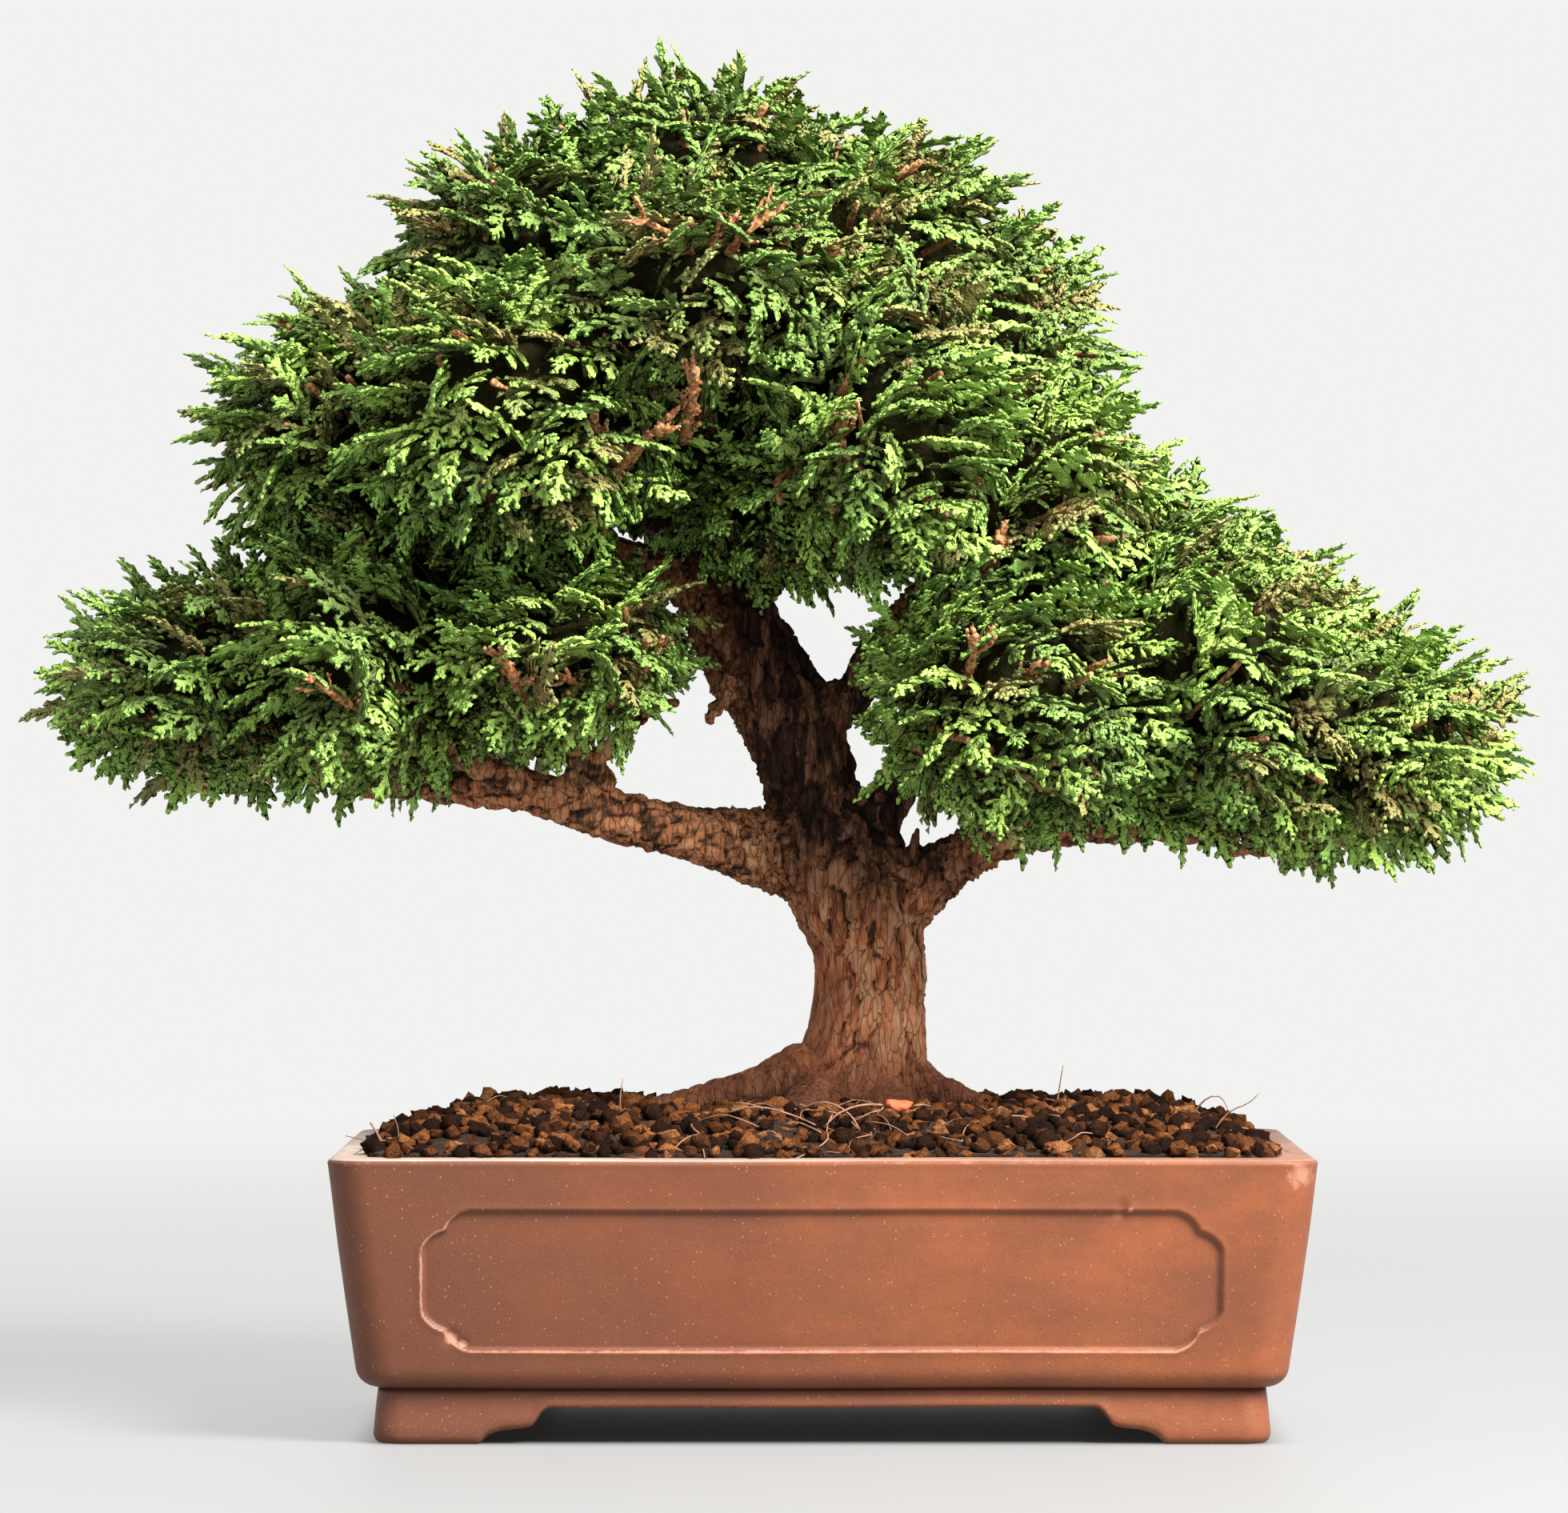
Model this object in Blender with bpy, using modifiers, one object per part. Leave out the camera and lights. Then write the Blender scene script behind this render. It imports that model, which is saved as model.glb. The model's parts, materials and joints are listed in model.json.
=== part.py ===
# Hinoki cypress bonsai in a rectangular clay pot on four bracket feet.
#
# +Z is up, +X runs along the pot's length and -Y is the viewing side.  The pieces are modelled about
# the pot's centre on the floor, and one empty then carries them all so that the origin is the bottom
# centre of the whole plant's box.
import math

import bmesh
import bpy
from mathutils import Matrix, Vector, noise

# pot, metres
POT_LENGTH = 0.200  # over the rim
POT_WIDTH = 0.140
POT_HEIGHT = 0.058  # floor to rim, feet included
FOOT_HEIGHT = 0.011  # underside of the body above the floor
WALL_LEAN = 0.0060  # each wall leans in by this from the rim to the underside
WALL = 0.0080
FLOOR_THICKNESS = 0.0062
CORNER_RADIUS = 0.0080
CAVITY_CORNER_RADIUS = 0.0048
BODY_EDGE_RADIUS = 0.0040
RIM_EDGE_RADIUS = 0.0012
CAVITY_EDGE_RADIUS = 0.0030

# skirt and feet under the body
SKIRT_INSET = 0.0040
SKIRT_CORNER_RADIUS = 0.0056
SKIRT_DROP = 0.0036
SKIRT_THICKNESS = 0.0090
SKIRT_OVERLAP = 0.0030  # how far the skirt runs up into the body
FOOT_FLARE = 0.0009
FOOT_LENGTH = 0.0215  # flat under each foot along the pot's long sides
FOOT_WIDTH = 0.0185  # the same along its short sides
BRACKET_STEP = 0.0032  # height of the bracket's lower step
BRACKET_RUN = 0.0140
BRACKET_CURVE = [(0.12, 0.55), (0.34, 0.88), (0.72, 1.00), (0.80, 1.25)]  # shares of run and step
BRACKET_SHOULDER = (0.90, 0.88)  # shares of the run and of the whole rise to the skirt
UNDERSIDE_CORNER_RADIUS = 0.0040
UNDERSIDE_RECESS = 0.0012  # the floor's underside above the skirt's joint

# sunk panel in each wall, with cusped corners
PANEL_MARGIN = 0.0166  # from the wall's end to the panel, at mid height
PANEL_HEIGHT = 0.0282
PANEL_TOP = 0.0105  # below the rim
PANEL_DEPTH = 0.0012
PANEL_LOBE_RUN = 0.0045
PANEL_LOBE_RISE = 0.0038

# drainage
DRAIN_DIAMETER = 0.0200
DRAIN_SPACING = 0.0900
SCREEN_THICKNESS = 0.0012
SCREEN_PITCH = 0.0050
SCREEN_CELLS = 5
SCREEN_BAR = 0.0014
POCKET_CORNER_RADIUS = 0.0008  # hollow in the grit over each screen
CLIP_WIRE = 0.0014
CLIP_LEG_CELLS = 1  # each leg drops through this cell, counted from the middle
CLIP_TAIL = 0.0080
DRAINAGE_DEPTH = 0.0080

# soil
SOIL_BELOW_RIM = 0.0008
MOUND_HEIGHT = 0.0080
SOIL_WAVE = 0.0007  # unevenness of the mound
SOIL_WAVE_SCALE = 60.0
MOUND_SHOULDER = 0.0260  # the mound rises over this distance in from the wall

# tree; its limbs and pads are drawn 300 wide, 150 deep and 220 high, and place() stretches them
TREE_SPREAD = 0.300
TREE_DEPTH = 0.185
TREE_HEIGHT = 0.220
TRUNK_WAIST = 0.0244  # trunk diameter at its narrowest
CROWN_LINE = 0.0040  # the drawing's zero height above the rim

GAP = 0.0003  # between pieces that touch
OVERSHOOT = 0.002  # how far a cutter runs past the face that it opens

DRAWN_SPREAD = 300.0
DRAWN_DEPTH = 150.0
DRAWN_HEIGHT = 220.0
DRAWN_WAIST = 24.4
BARK_VOXEL = 0.0013
BARK_FACET = 0.0006  # room for the facets of the thinned bark
BARK_SHARE = 0.042  # share of the remeshed bark's faces that is kept
PAD_LUMP = 0.09  # lumpiness of a pad, as a share of its size
PAD_UNDERSIDE = 0.80  # a pad's lower half is this much flatter
PAD_LUMP_SCALE = 2.2
PAD_SEED_STEP = 7.3
PAD_WELD = 0.0004
NEIGHBOUR_REACH = 1.12  # pads within this share of touching are parted from each other

# how finely round shapes are divided
CORNER_SEGMENTS = 5
EDGE_SEGMENTS = 3
LOBE_SEGMENTS = 4
DRAIN_SEGMENTS = 20
SOIL_COLUMNS = 18
SOIL_ROWS = 12
PAD_MERIDIANS = 12
PAD_RINGS = 9
STEM_BEVEL = 3
STEM_STEPS = 5
WELD = 1e-6

# leader first, then the limbs and the roots: (x, y, height, radius) down the middle of each
STEMS = {
    "leader": [(4.5, 0, -9, 16), (5, 0, 1, 18.5), (8, 0, 8, 15.5), (9.5, 0, 17, 13.4),
               (10.2, 0, 29, 12.2), (10.2, 0, 38, 12.3), (8.2, 0, 46, 14), (5, 0.5, 54, 13.2),
               (0, 1, 62, 11), (-2, 2, 71, 10), (-6.5, 2, 84, 10.8), (-14, 1, 96.5, 11.2),
               (-20.5, 0, 107, 9.2), (-24, 2, 118, 7.2), (-24, 4, 135, 5.4), (-25, 4, 155, 4.4),
               (-26, 0, 175, 3.4), (-27, -3, 192, 2.4)],
    "left_limb": [(4, 0, 52, 9.0), (-7, -3, 54.5, 7.2), (-16, -5, 57, 6.3), (-27, -6, 60.6, 6.0),
                  (-46, -7, 65, 5.4), (-61, -8, 69.5, 4.6), (-78, -7, 70.5, 3.7),
                  (-100, -3, 72, 2.8), (-122, 0, 80, 2.2)],
    "left_riser": [(-44, -8, 66, 3.4), (-49.5, -10, 71, 2.9), (-51.3, -13, 81, 2.5),
                   (-50, -17, 93, 2.2)],
    "left_front": [(-60, -8, 69, 3.6), (-74, -18, 77, 2.8), (-90, -24, 90, 2.2)],
    "left_back": [(-52, -6, 67, 3.8), (-68, 14, 74, 3.0), (-88, 36, 84, 2.2)],
    "right_limb": [(9, 0, 43, 9), (19, -2, 48, 7), (29, -3, 56, 5.6), (46, -3, 62, 4.6),
                   (71, -2, 61.5, 3.4), (92, 0, 64, 2.7), (112, 2, 74, 2.2)],
    "right_front": [(42, -3, 61, 3.4), (46, -18, 70, 2.8), (46, -28, 84, 2.2)],
    "right_mid": [(66, -2, 61.5, 3.0), (76, -14, 72, 2.6), (82, -18, 86, 2.2)],
    "right_back": [(50, -2, 62, 3.4), (62, 20, 70, 2.8), (78, 38, 80, 2.2)],
    "right_second": [(6, 1, 55, 7), (14, 3, 68, 5.2), (19, 5, 76, 4.2), (32, 6, 88, 3.4),
                     (50, 5, 100, 2.8), (68, 4, 112, 2.2)],
    "right_stub": [(-5, 0, 84, 6), (6, -2, 89, 4.6), (11, -4, 97, 3.8), (18, -10, 108, 3.0),
                   (30, -16, 119, 2.6), (42, -18, 130, 2.2)],
    "right_high": [(-20, 1, 107, 5.5), (-8, -3, 117, 4.4), (6, -8, 127, 3.6), (20, -8, 142, 2.9),
                   (34, -4, 158, 2.2)],
    "right_high_front": [(0, -6, 122, 3.2), (8, -20, 132, 2.7), (12, -34, 142, 2.2)],
    "left_high": [(-22, 0, 110, 6), (-33, -4, 115.5, 4.8), (-45, -8, 119.8, 4.1),
                  (-62, -12, 127, 3.3), (-68, -20, 135, 2.8), (-66, -30, 148, 2.2)],
    "left_high_outer": [(-46, -7, 120, 3.4), (-70, -2, 130, 2.8), (-94, 2, 146, 2.2)],
    "left_high_back": [(-24, 3, 120, 4.6), (-40, 20, 132, 3.4), (-58, 36, 150, 2.2)],
    "crown_back": [(-23, 3, 116, 4.8), (-12, 18, 128, 3.6), (4, 36, 148, 2.2)],
    "crown_front": [(-24, 3, 132, 4.2), (-24, -18, 144, 3.0), (-26, -36, 160, 2.2)],
    "apex_left": [(-25, 4, 153, 3.8), (-42, -2, 168, 2.9), (-60, -6, 182, 2.2)],
    "apex_right": [(-25, 3, 158, 3.6), (-8, 0, 172, 2.8), (10, -3, 183, 2.2)],
    "apex_back": [(-25, 6, 150, 3.6), (-24, 22, 166, 2.8), (-24, 36, 182, 2.2)],
    "root_left": [(2, 0, 2, 12), (-7, -3, 3.6, 7.2), (-15, -5, 1.8, 4.8), (-25, -7, 0.6, 3.6),
                  (-35, -9, -4, 3.0), (-46, -10, -12, 2.4)],
    "root_right": [(10, 0, 3, 11), (20, -3, 6, 7), (28, -5, 2.6, 4.6), (36, -8, -1, 3.4),
                   (48, -10, -10, 2.4)],
    "root_front_left": [(4, -2, 2, 11), (-2, -13, 3.4, 6.5), (-8, -23, -1, 4.2),
                        (-15, -34, -9, 2.6)],
    "root_front_right": [(8, -2, 2, 10), (14, -13, 3, 6), (20, -24, -3, 4), (28, -35, -11, 2.6)],
    "root_back_left": [(4, 2, 2, 11), (-4, 14, 3, 6.5), (-14, 25, -3, 4.2), (-26, 35, -11, 2.6)],
    "root_back_right": [(8, 2, 2, 10), (16, 14, 3, 6), (26, 25, -3, 4), (36, 34, -11, 2.6)],
}

# foliage pads, each the growth of one branch: (x, y, height), (half sizes)
PADS = {
    "foliage_apex_top": ((-26, -6, 192), (38, 38, 25)),
    "foliage_apex_left": ((-59, -8, 179), (30, 38, 26)),
    "foliage_apex_right": ((12, -6, 179), (31, 38, 27)),
    "foliage_apex_back": ((-24, 42, 180), (42, 32, 28)),
    "foliage_crown_left_outer": ((-95, 0, 143), (32, 42, 31)),
    "foliage_crown_left_front": ((-62, -40, 146), (34, 32, 32)),
    "foliage_crown_front": ((-24, -46, 172), (30, 28, 25)),
    "foliage_crown_right_outer": ((31, -2, 160), (28, 40, 30)),
    "foliage_crown_right_front": ((14, -42, 144), (26, 30, 35)),
    "foliage_crown_right_low": ((42, -22, 131), (27, 36, 25)),
    "foliage_crown_core": ((-8, -14, 133), (26, 22, 24)),
    "foliage_crown_back_left": ((-62, 40, 150), (44, 36, 36)),
    "foliage_crown_back_right": ((10, 42, 150), (44, 36, 38)),
    "foliage_left_tip": ((-126, 0, 92), (33, 42, 24)),
    "foliage_left_mid": ((-92, -14, 96), (31, 46, 30)),
    "foliage_left_inner": ((-56, -26, 99), (28, 36, 22)),
    "foliage_left_back": ((-88, 40, 94), (46, 34, 26)),
    "foliage_right_tip": ((109, 0, 80), (34, 42, 27)),
    "foliage_right_mid": ((80, -14, 90), (33, 46, 35)),
    "foliage_right_inner": ((41, -30, 88), (30, 36, 31)),
    "foliage_right_shoulder": ((68, 2, 112), (33, 42, 22)),
    "foliage_right_back": ((82, 42, 90), (46, 34, 28)),
}


def clear_scene():
    for obj in list(bpy.data.objects):
        bpy.data.objects.remove(obj, do_unlink=True)


def make_collection(name):
    collection = bpy.data.collections.new(name)
    bpy.context.scene.collection.children.link(collection)
    return collection


def make_material(name, colour, roughness, metallic=0.0):
    material = bpy.data.materials.new(name)
    material.use_nodes = True
    shader = material.node_tree.nodes["Principled BSDF"]
    shader.inputs["Base Color"].default_value = (*colour, 1.0)
    shader.inputs["Roughness"].default_value = roughness
    shader.inputs["Metallic"].default_value = metallic
    return material


def add_object(name, mesh, collection, material=None):
    obj = bpy.data.objects.new(name, mesh)
    collection.objects.link(obj)
    if material:
        mesh.materials.clear()
        mesh.materials.append(material)
    return obj


def mesh_from_bmesh(name, bm):
    bmesh.ops.recalc_face_normals(bm, faces=bm.faces)
    mesh = bpy.data.meshes.new(name)
    bm.to_mesh(mesh)
    bm.free()
    return mesh


def evaluated_mesh(obj):
    """The object's mesh with its modifiers applied and its caps welded."""
    bpy.context.view_layer.update()
    graph = bpy.context.evaluated_depsgraph_get()
    mesh = bpy.data.meshes.new_from_object(obj.evaluated_get(graph))
    bm = bmesh.new()
    bm.from_mesh(mesh)
    bmesh.ops.remove_doubles(bm, verts=bm.verts, dist=WELD)
    bm.to_mesh(mesh)
    bm.free()
    return mesh


def make_cutter(name, mesh, collection):
    cutter = add_object(name, mesh, collection)
    cutter.hide_render = True
    cutter.display_type = "WIRE"
    return cutter


def add_boolean(obj, cutter, operation="DIFFERENCE"):
    modifier = obj.modifiers.new(cutter.name, "BOOLEAN")
    modifier.operation = operation
    modifier.solver = "EXACT"
    modifier.object = cutter


def shade_round(mesh, angle=math.radians(35)):
    mesh.shade_smooth()
    mesh.set_sharp_from_angle(angle=angle)


def tapered_block(name, low, high, bottom, top, corner, low_edge=0.0, high_edge=0.0):
    """A block from height low to high, with half sizes bottom and top and its edges rounded."""
    bm = bmesh.new()
    bmesh.ops.create_cube(bm, size=2.0)
    for vert in bm.verts:
        half = top if vert.co.z > 0 else bottom
        vert.co = Vector((vert.co.x * half[0], vert.co.y * half[1], high if vert.co.z > 0 else low))
    uprights = [e for e in bm.edges if abs(e.verts[0].co.z - e.verts[1].co.z) > (high - low) / 2]
    bmesh.ops.bevel(bm, geom=uprights, offset=corner, segments=CORNER_SEGMENTS, profile=0.5,
                    affect="EDGES")
    for height, radius in ((low, low_edge), (high, high_edge)):
        if radius:
            ring = [e for e in bm.edges if all(abs(v.co.z - height) < WELD / 10 for v in e.verts)]
            bmesh.ops.bevel(bm, geom=ring, offset=radius, segments=EDGE_SEGMENTS, profile=0.5,
                            affect="EDGES")
    return mesh_from_bmesh(name, bm)


def wall_half(height, inset=0.0):
    """Half length and half width of the pot's outer wall at a height, less an inset."""
    share = (POT_HEIGHT - height) / (POT_HEIGHT - FOOT_HEIGHT)
    lean = WALL_LEAN * share + inset
    return POT_LENGTH / 2 - lean, POT_WIDTH / 2 - lean


def cavity_block(name, low, high, gap, edge=0.0):
    """The inside of the pot between two heights, less a gap to the wall."""
    return tapered_block(name, low, high, wall_half(low, WALL + gap), wall_half(high, WALL + gap),
                         CAVITY_CORNER_RADIUS, low_edge=edge)


def outline_slab(name, points, thickness, collection):
    """A closed flat outline in the local XY plane, thickened both ways, as a mesh cutter."""
    curve = bpy.data.curves.new(name, "CURVE")
    curve.dimensions = "2D"
    curve.fill_mode = "BOTH"
    curve.extrude = thickness / 2
    spline = curve.splines.new("POLY")
    spline.points.add(len(points) - 1)
    for point, (x, y) in zip(spline.points, points):
        point.co = (x, y, 0.0, 1.0)
    spline.use_cyclic_u = True
    guide = bpy.data.objects.new(name + "_outline", curve)
    collection.objects.link(guide)
    mesh = evaluated_mesh(guide)
    mesh.name = name
    bpy.data.objects.remove(guide, do_unlink=True)
    return make_cutter(name, mesh, collection)


def lobe_arc(centre, run, rise, start, steps=LOBE_SEGMENTS):
    """Points on a quarter of an ellipse, from the angle start in quarter turns."""
    points = []
    for step in range(steps + 1):
        angle = (start + step / steps) * math.pi / 2
        points.append((centre[0] + run * math.cos(angle), centre[1] + rise * math.sin(angle)))
    return points


def panel_outline(length, height):
    """A rectangle whose corners are two round lobes that meet in a cusp pointing inwards."""
    x = length / 2
    y = height / 2
    run = PANEL_LOBE_RUN
    rise = PANEL_LOBE_RISE
    side = lobe_arc((x - run, y - 2 * rise), run, rise, 0)
    top = lobe_arc((x - 2 * run, y - rise), run, rise, 0)
    corner = side + top[1:]
    left = [(-px, py) for px, py in reversed(corner)]
    upper = corner + left
    return upper + [(-px, -py) for px, py in upper]


def bracket_outline(half_span, foot):
    """The gap between two feet: a foot's flat, a curved lower step, then a rise to the skirt."""
    inner = half_span - foot
    rise = FOOT_HEIGHT - SKIRT_DROP
    run = BRACKET_RUN
    right = [(inner, -OVERSHOOT), (inner, 0.0)]
    right += [(inner - run * along, BRACKET_STEP * up) for along, up in BRACKET_CURVE]
    right += [(inner - run * BRACKET_SHOULDER[0], rise * BRACKET_SHOULDER[1]), (inner - run, rise)]
    return right + [(-x, y) for x, y in reversed(right)]


def build_pot(collection, cutters, material):
    body_low = wall_half(FOOT_HEIGHT)
    rim = wall_half(POT_HEIGHT)
    mesh = tapered_block("pot", FOOT_HEIGHT, POT_HEIGHT, body_low, rim, CORNER_RADIUS,
                         BODY_EDGE_RADIUS, RIM_EDGE_RADIUS)
    shade_round(mesh)
    pot = add_object("pot", mesh, collection, material)

    skirt_top = [half - SKIRT_INSET for half in body_low]
    skirt_low = [half + FOOT_FLARE for half in skirt_top]
    skirt = make_cutter("skirt_block", tapered_block(
        "skirt_block", 0.0, FOOT_HEIGHT + SKIRT_OVERLAP, skirt_low, skirt_top, SKIRT_CORNER_RADIUS,
        low_edge=RIM_EDGE_RADIUS), cutters)
    add_boolean(pot, skirt, "UNION")

    hollow_half = [half - SKIRT_THICKNESS for half in skirt_top]
    floor_low = FOOT_HEIGHT - UNDERSIDE_RECESS
    hollow = make_cutter("underside_hollow", tapered_block(
        "underside_hollow", -OVERSHOOT, floor_low, hollow_half, hollow_half,
        UNDERSIDE_CORNER_RADIUS), cutters)
    add_boolean(pot, hollow)

    for name, span, across, foot, turn in (
            ("long_bracket_gap", skirt_low[0], POT_WIDTH, FOOT_LENGTH, 0.0),
            ("short_bracket_gap", skirt_low[1], POT_LENGTH, FOOT_WIDTH, math.pi / 2)):
        gap = outline_slab(name, bracket_outline(span, foot), across * 1.1, cutters)
        gap.matrix_world = Matrix.Rotation(turn, 4, "Z") @ Matrix.Rotation(math.pi / 2, 4, "X")
        add_boolean(pot, gap)

    floor_top = floor_low + FLOOR_THICKNESS
    cavity = make_cutter("cavity", cavity_block("cavity", floor_top, POT_HEIGHT + OVERSHOOT,
                                                0.0, CAVITY_EDGE_RADIUS), cutters)
    add_boolean(pot, cavity)

    lean = math.atan(WALL_LEAN / (POT_HEIGHT - FOOT_HEIGHT))
    middle = POT_HEIGHT - PANEL_TOP - PANEL_HEIGHT / 2
    half_x, half_y = wall_half(middle)
    for side in range(4):
        across = (half_y, half_x)[side % 2]
        length = 2 * (half_x, half_y)[side % 2] - 2 * PANEL_MARGIN
        panel = outline_slab("panel_cut_" + str(side), panel_outline(length, PANEL_HEIGHT),
                             2 * PANEL_DEPTH, cutters)
        turn = Matrix.Rotation(side * math.pi / 2, 4, "Z")
        stand = Matrix.Translation((0, -across, middle)) @ Matrix.Rotation(
            math.pi / 2 + lean, 4, "X")
        panel.matrix_world = turn @ stand
        add_boolean(pot, panel)

    for side in (-1, 1):
        bm = bmesh.new()
        bmesh.ops.create_cone(bm, cap_ends=True, segments=DRAIN_SEGMENTS, radius1=DRAIN_DIAMETER / 2,
                              radius2=DRAIN_DIAMETER / 2, depth=4 * FLOOR_THICKNESS)
        drain = make_cutter("drain_" + ("left" if side < 0 else "right"),
                            mesh_from_bmesh("drain", bm), cutters)
        drain.location = (side * DRAIN_SPACING / 2, 0, floor_low + FLOOR_THICKNESS / 2)
        add_boolean(pot, drain)
    return floor_low, floor_top


def build_screen(name, centre_x, floor_top, collection, material):
    """A square of plastic mesh that lies over a drain hole: a plate with a grid of square holes."""
    half = (SCREEN_CELLS * SCREEN_PITCH + SCREEN_BAR) / 2
    opening = SCREEN_PITCH - SCREEN_BAR
    lines = []
    for cell in range(SCREEN_CELLS):
        start = -half + SCREEN_BAR + cell * SCREEN_PITCH
        lines += [start, start + opening]
    lines = [-half] + lines + [half]
    bm = bmesh.new()
    grid = [[bm.verts.new((x, y, 0.0)) for y in lines] for x in lines]
    for i in range(len(lines) - 1):
        for j in range(len(lines) - 1):
            if i % 2 and j % 2:
                continue
            bm.faces.new((grid[i][j], grid[i + 1][j], grid[i + 1][j + 1], grid[i][j + 1]))
    plate = bpy.data.objects.new(name, mesh_from_bmesh(name, bm))
    collection.objects.link(plate)
    plate.data.materials.append(material)
    solid = plate.modifiers.new("thickness", "SOLIDIFY")
    solid.thickness = SCREEN_THICKNESS
    solid.offset = 0.0
    plate.location = (centre_x, 0, floor_top + GAP + SCREEN_THICKNESS / 2)


def build_clip(name, centre_x, floor_low, floor_top, collection, material):
    """Wire staple over the screen, its legs down through the drain hole and bent out under it."""
    leg = CLIP_LEG_CELLS * SCREEN_PITCH
    bend = CLIP_WIRE
    high = floor_top + 2 * GAP + SCREEN_THICKNESS + CLIP_WIRE / 2
    low = floor_low - GAP - CLIP_WIRE / 2
    half_path = [(0.0, high), (leg - bend, high), (leg - bend * 0.3, high - bend * 0.3),
                 (leg, high - bend), (leg, low + bend), (leg + bend * 0.3, low + bend * 0.3),
                 (leg + bend, low), (leg + CLIP_TAIL, low)]
    path = [(-x, z) for x, z in reversed(half_path[1:])] + half_path
    curve = bpy.data.curves.new(name, "CURVE")
    curve.dimensions = "3D"
    curve.bevel_depth = CLIP_WIRE / 2
    curve.bevel_resolution = 1
    curve.use_fill_caps = True
    spline = curve.splines.new("POLY")
    spline.points.add(len(path) - 1)
    for point, (x, z) in zip(spline.points, path):
        point.co = (x, 0.0, z, 1.0)
    clip = bpy.data.objects.new(name, curve)
    collection.objects.link(clip)
    curve.materials.append(material)
    clip.location = (centre_x, 0, 0)


def build_drainage(floor_top, collection, cutters, material):
    """Coarse grit over the pot's floor, hollowed over each screen and its clip."""
    low = floor_top + GAP
    high = low + DRAINAGE_DEPTH
    mesh = cavity_block("drainage_grit", low, high, GAP, CAVITY_EDGE_RADIUS)
    grit = add_object("drainage_grit", mesh, collection, material)
    half = (SCREEN_CELLS * SCREEN_PITCH + SCREEN_BAR) / 2 + GAP
    pocket_top = floor_top + 3 * GAP + SCREEN_THICKNESS + CLIP_WIRE
    for side in (-1, 1):
        pocket = make_cutter("screen_pocket_" + str(side), tapered_block(
            "screen_pocket", low - OVERSHOOT, pocket_top, (half, half), (half, half),
            POCKET_CORNER_RADIUS), cutters)
        pocket.location.x = side * DRAIN_SPACING / 2
        add_boolean(grit, pocket)
    return high


def mound_height(x, y, half_x, half_y):
    """Height of the soil's top: level with the rim at the wall, rising to the mound inside it."""
    edge = min(half_x - abs(x), half_y - abs(y))
    share = max(0.0, min(1.0, edge / MOUND_SHOULDER))
    rise = math.sin(share * math.pi / 2)
    wave = SOIL_WAVE * noise.noise(Vector((x, y, 0.0)) * SOIL_WAVE_SCALE)
    return POT_HEIGHT - SOIL_BELOW_RIM + MOUND_HEIGHT * rise + wave * share


def build_soil(low, collection, cutters, material, clearance):
    """Granular soil that fills the pot over the grit and mounds up round the trunk."""
    mesh = cavity_block("soil_bed", low + GAP, POT_HEIGHT + MOUND_HEIGHT + 2 * OVERSHOOT, GAP)
    soil = add_object("soil_bed", mesh, collection, material)
    half_x, half_y = wall_half(POT_HEIGHT, WALL)
    bm = bmesh.new()
    bmesh.ops.create_grid(bm, x_segments=SOIL_COLUMNS, y_segments=SOIL_ROWS, size=1.0)
    for vert in bm.verts:
        x = vert.co.x * (half_x + 2 * OVERSHOOT)
        y = vert.co.y * (half_y + 2 * OVERSHOOT)
        vert.co = Vector((x, y, mound_height(x, y, half_x, half_y)))
    top = bmesh.ops.extrude_face_region(bm, geom=bm.faces[:])
    for item in top["geom"]:
        if isinstance(item, bmesh.types.BMVert):
            item.co.z = low - OVERSHOOT
    mound = make_cutter("mound", mesh_from_bmesh("mound", bm), cutters)
    add_boolean(soil, mound, "INTERSECT")
    add_boolean(soil, clearance)


def stretch(x, y, height):
    """A drawn size or offset, in metres at the tree's real spread, depth and height."""
    return Vector((x * TREE_SPREAD / DRAWN_SPREAD, y * TREE_DEPTH / DRAWN_DEPTH,
                   height * TREE_HEIGHT / DRAWN_HEIGHT))


def place(x, y, height):
    """A drawn point, in metres above the crown line."""
    return stretch(x, y, height) + Vector((0, 0, POT_HEIGHT + CROWN_LINE))


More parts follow.
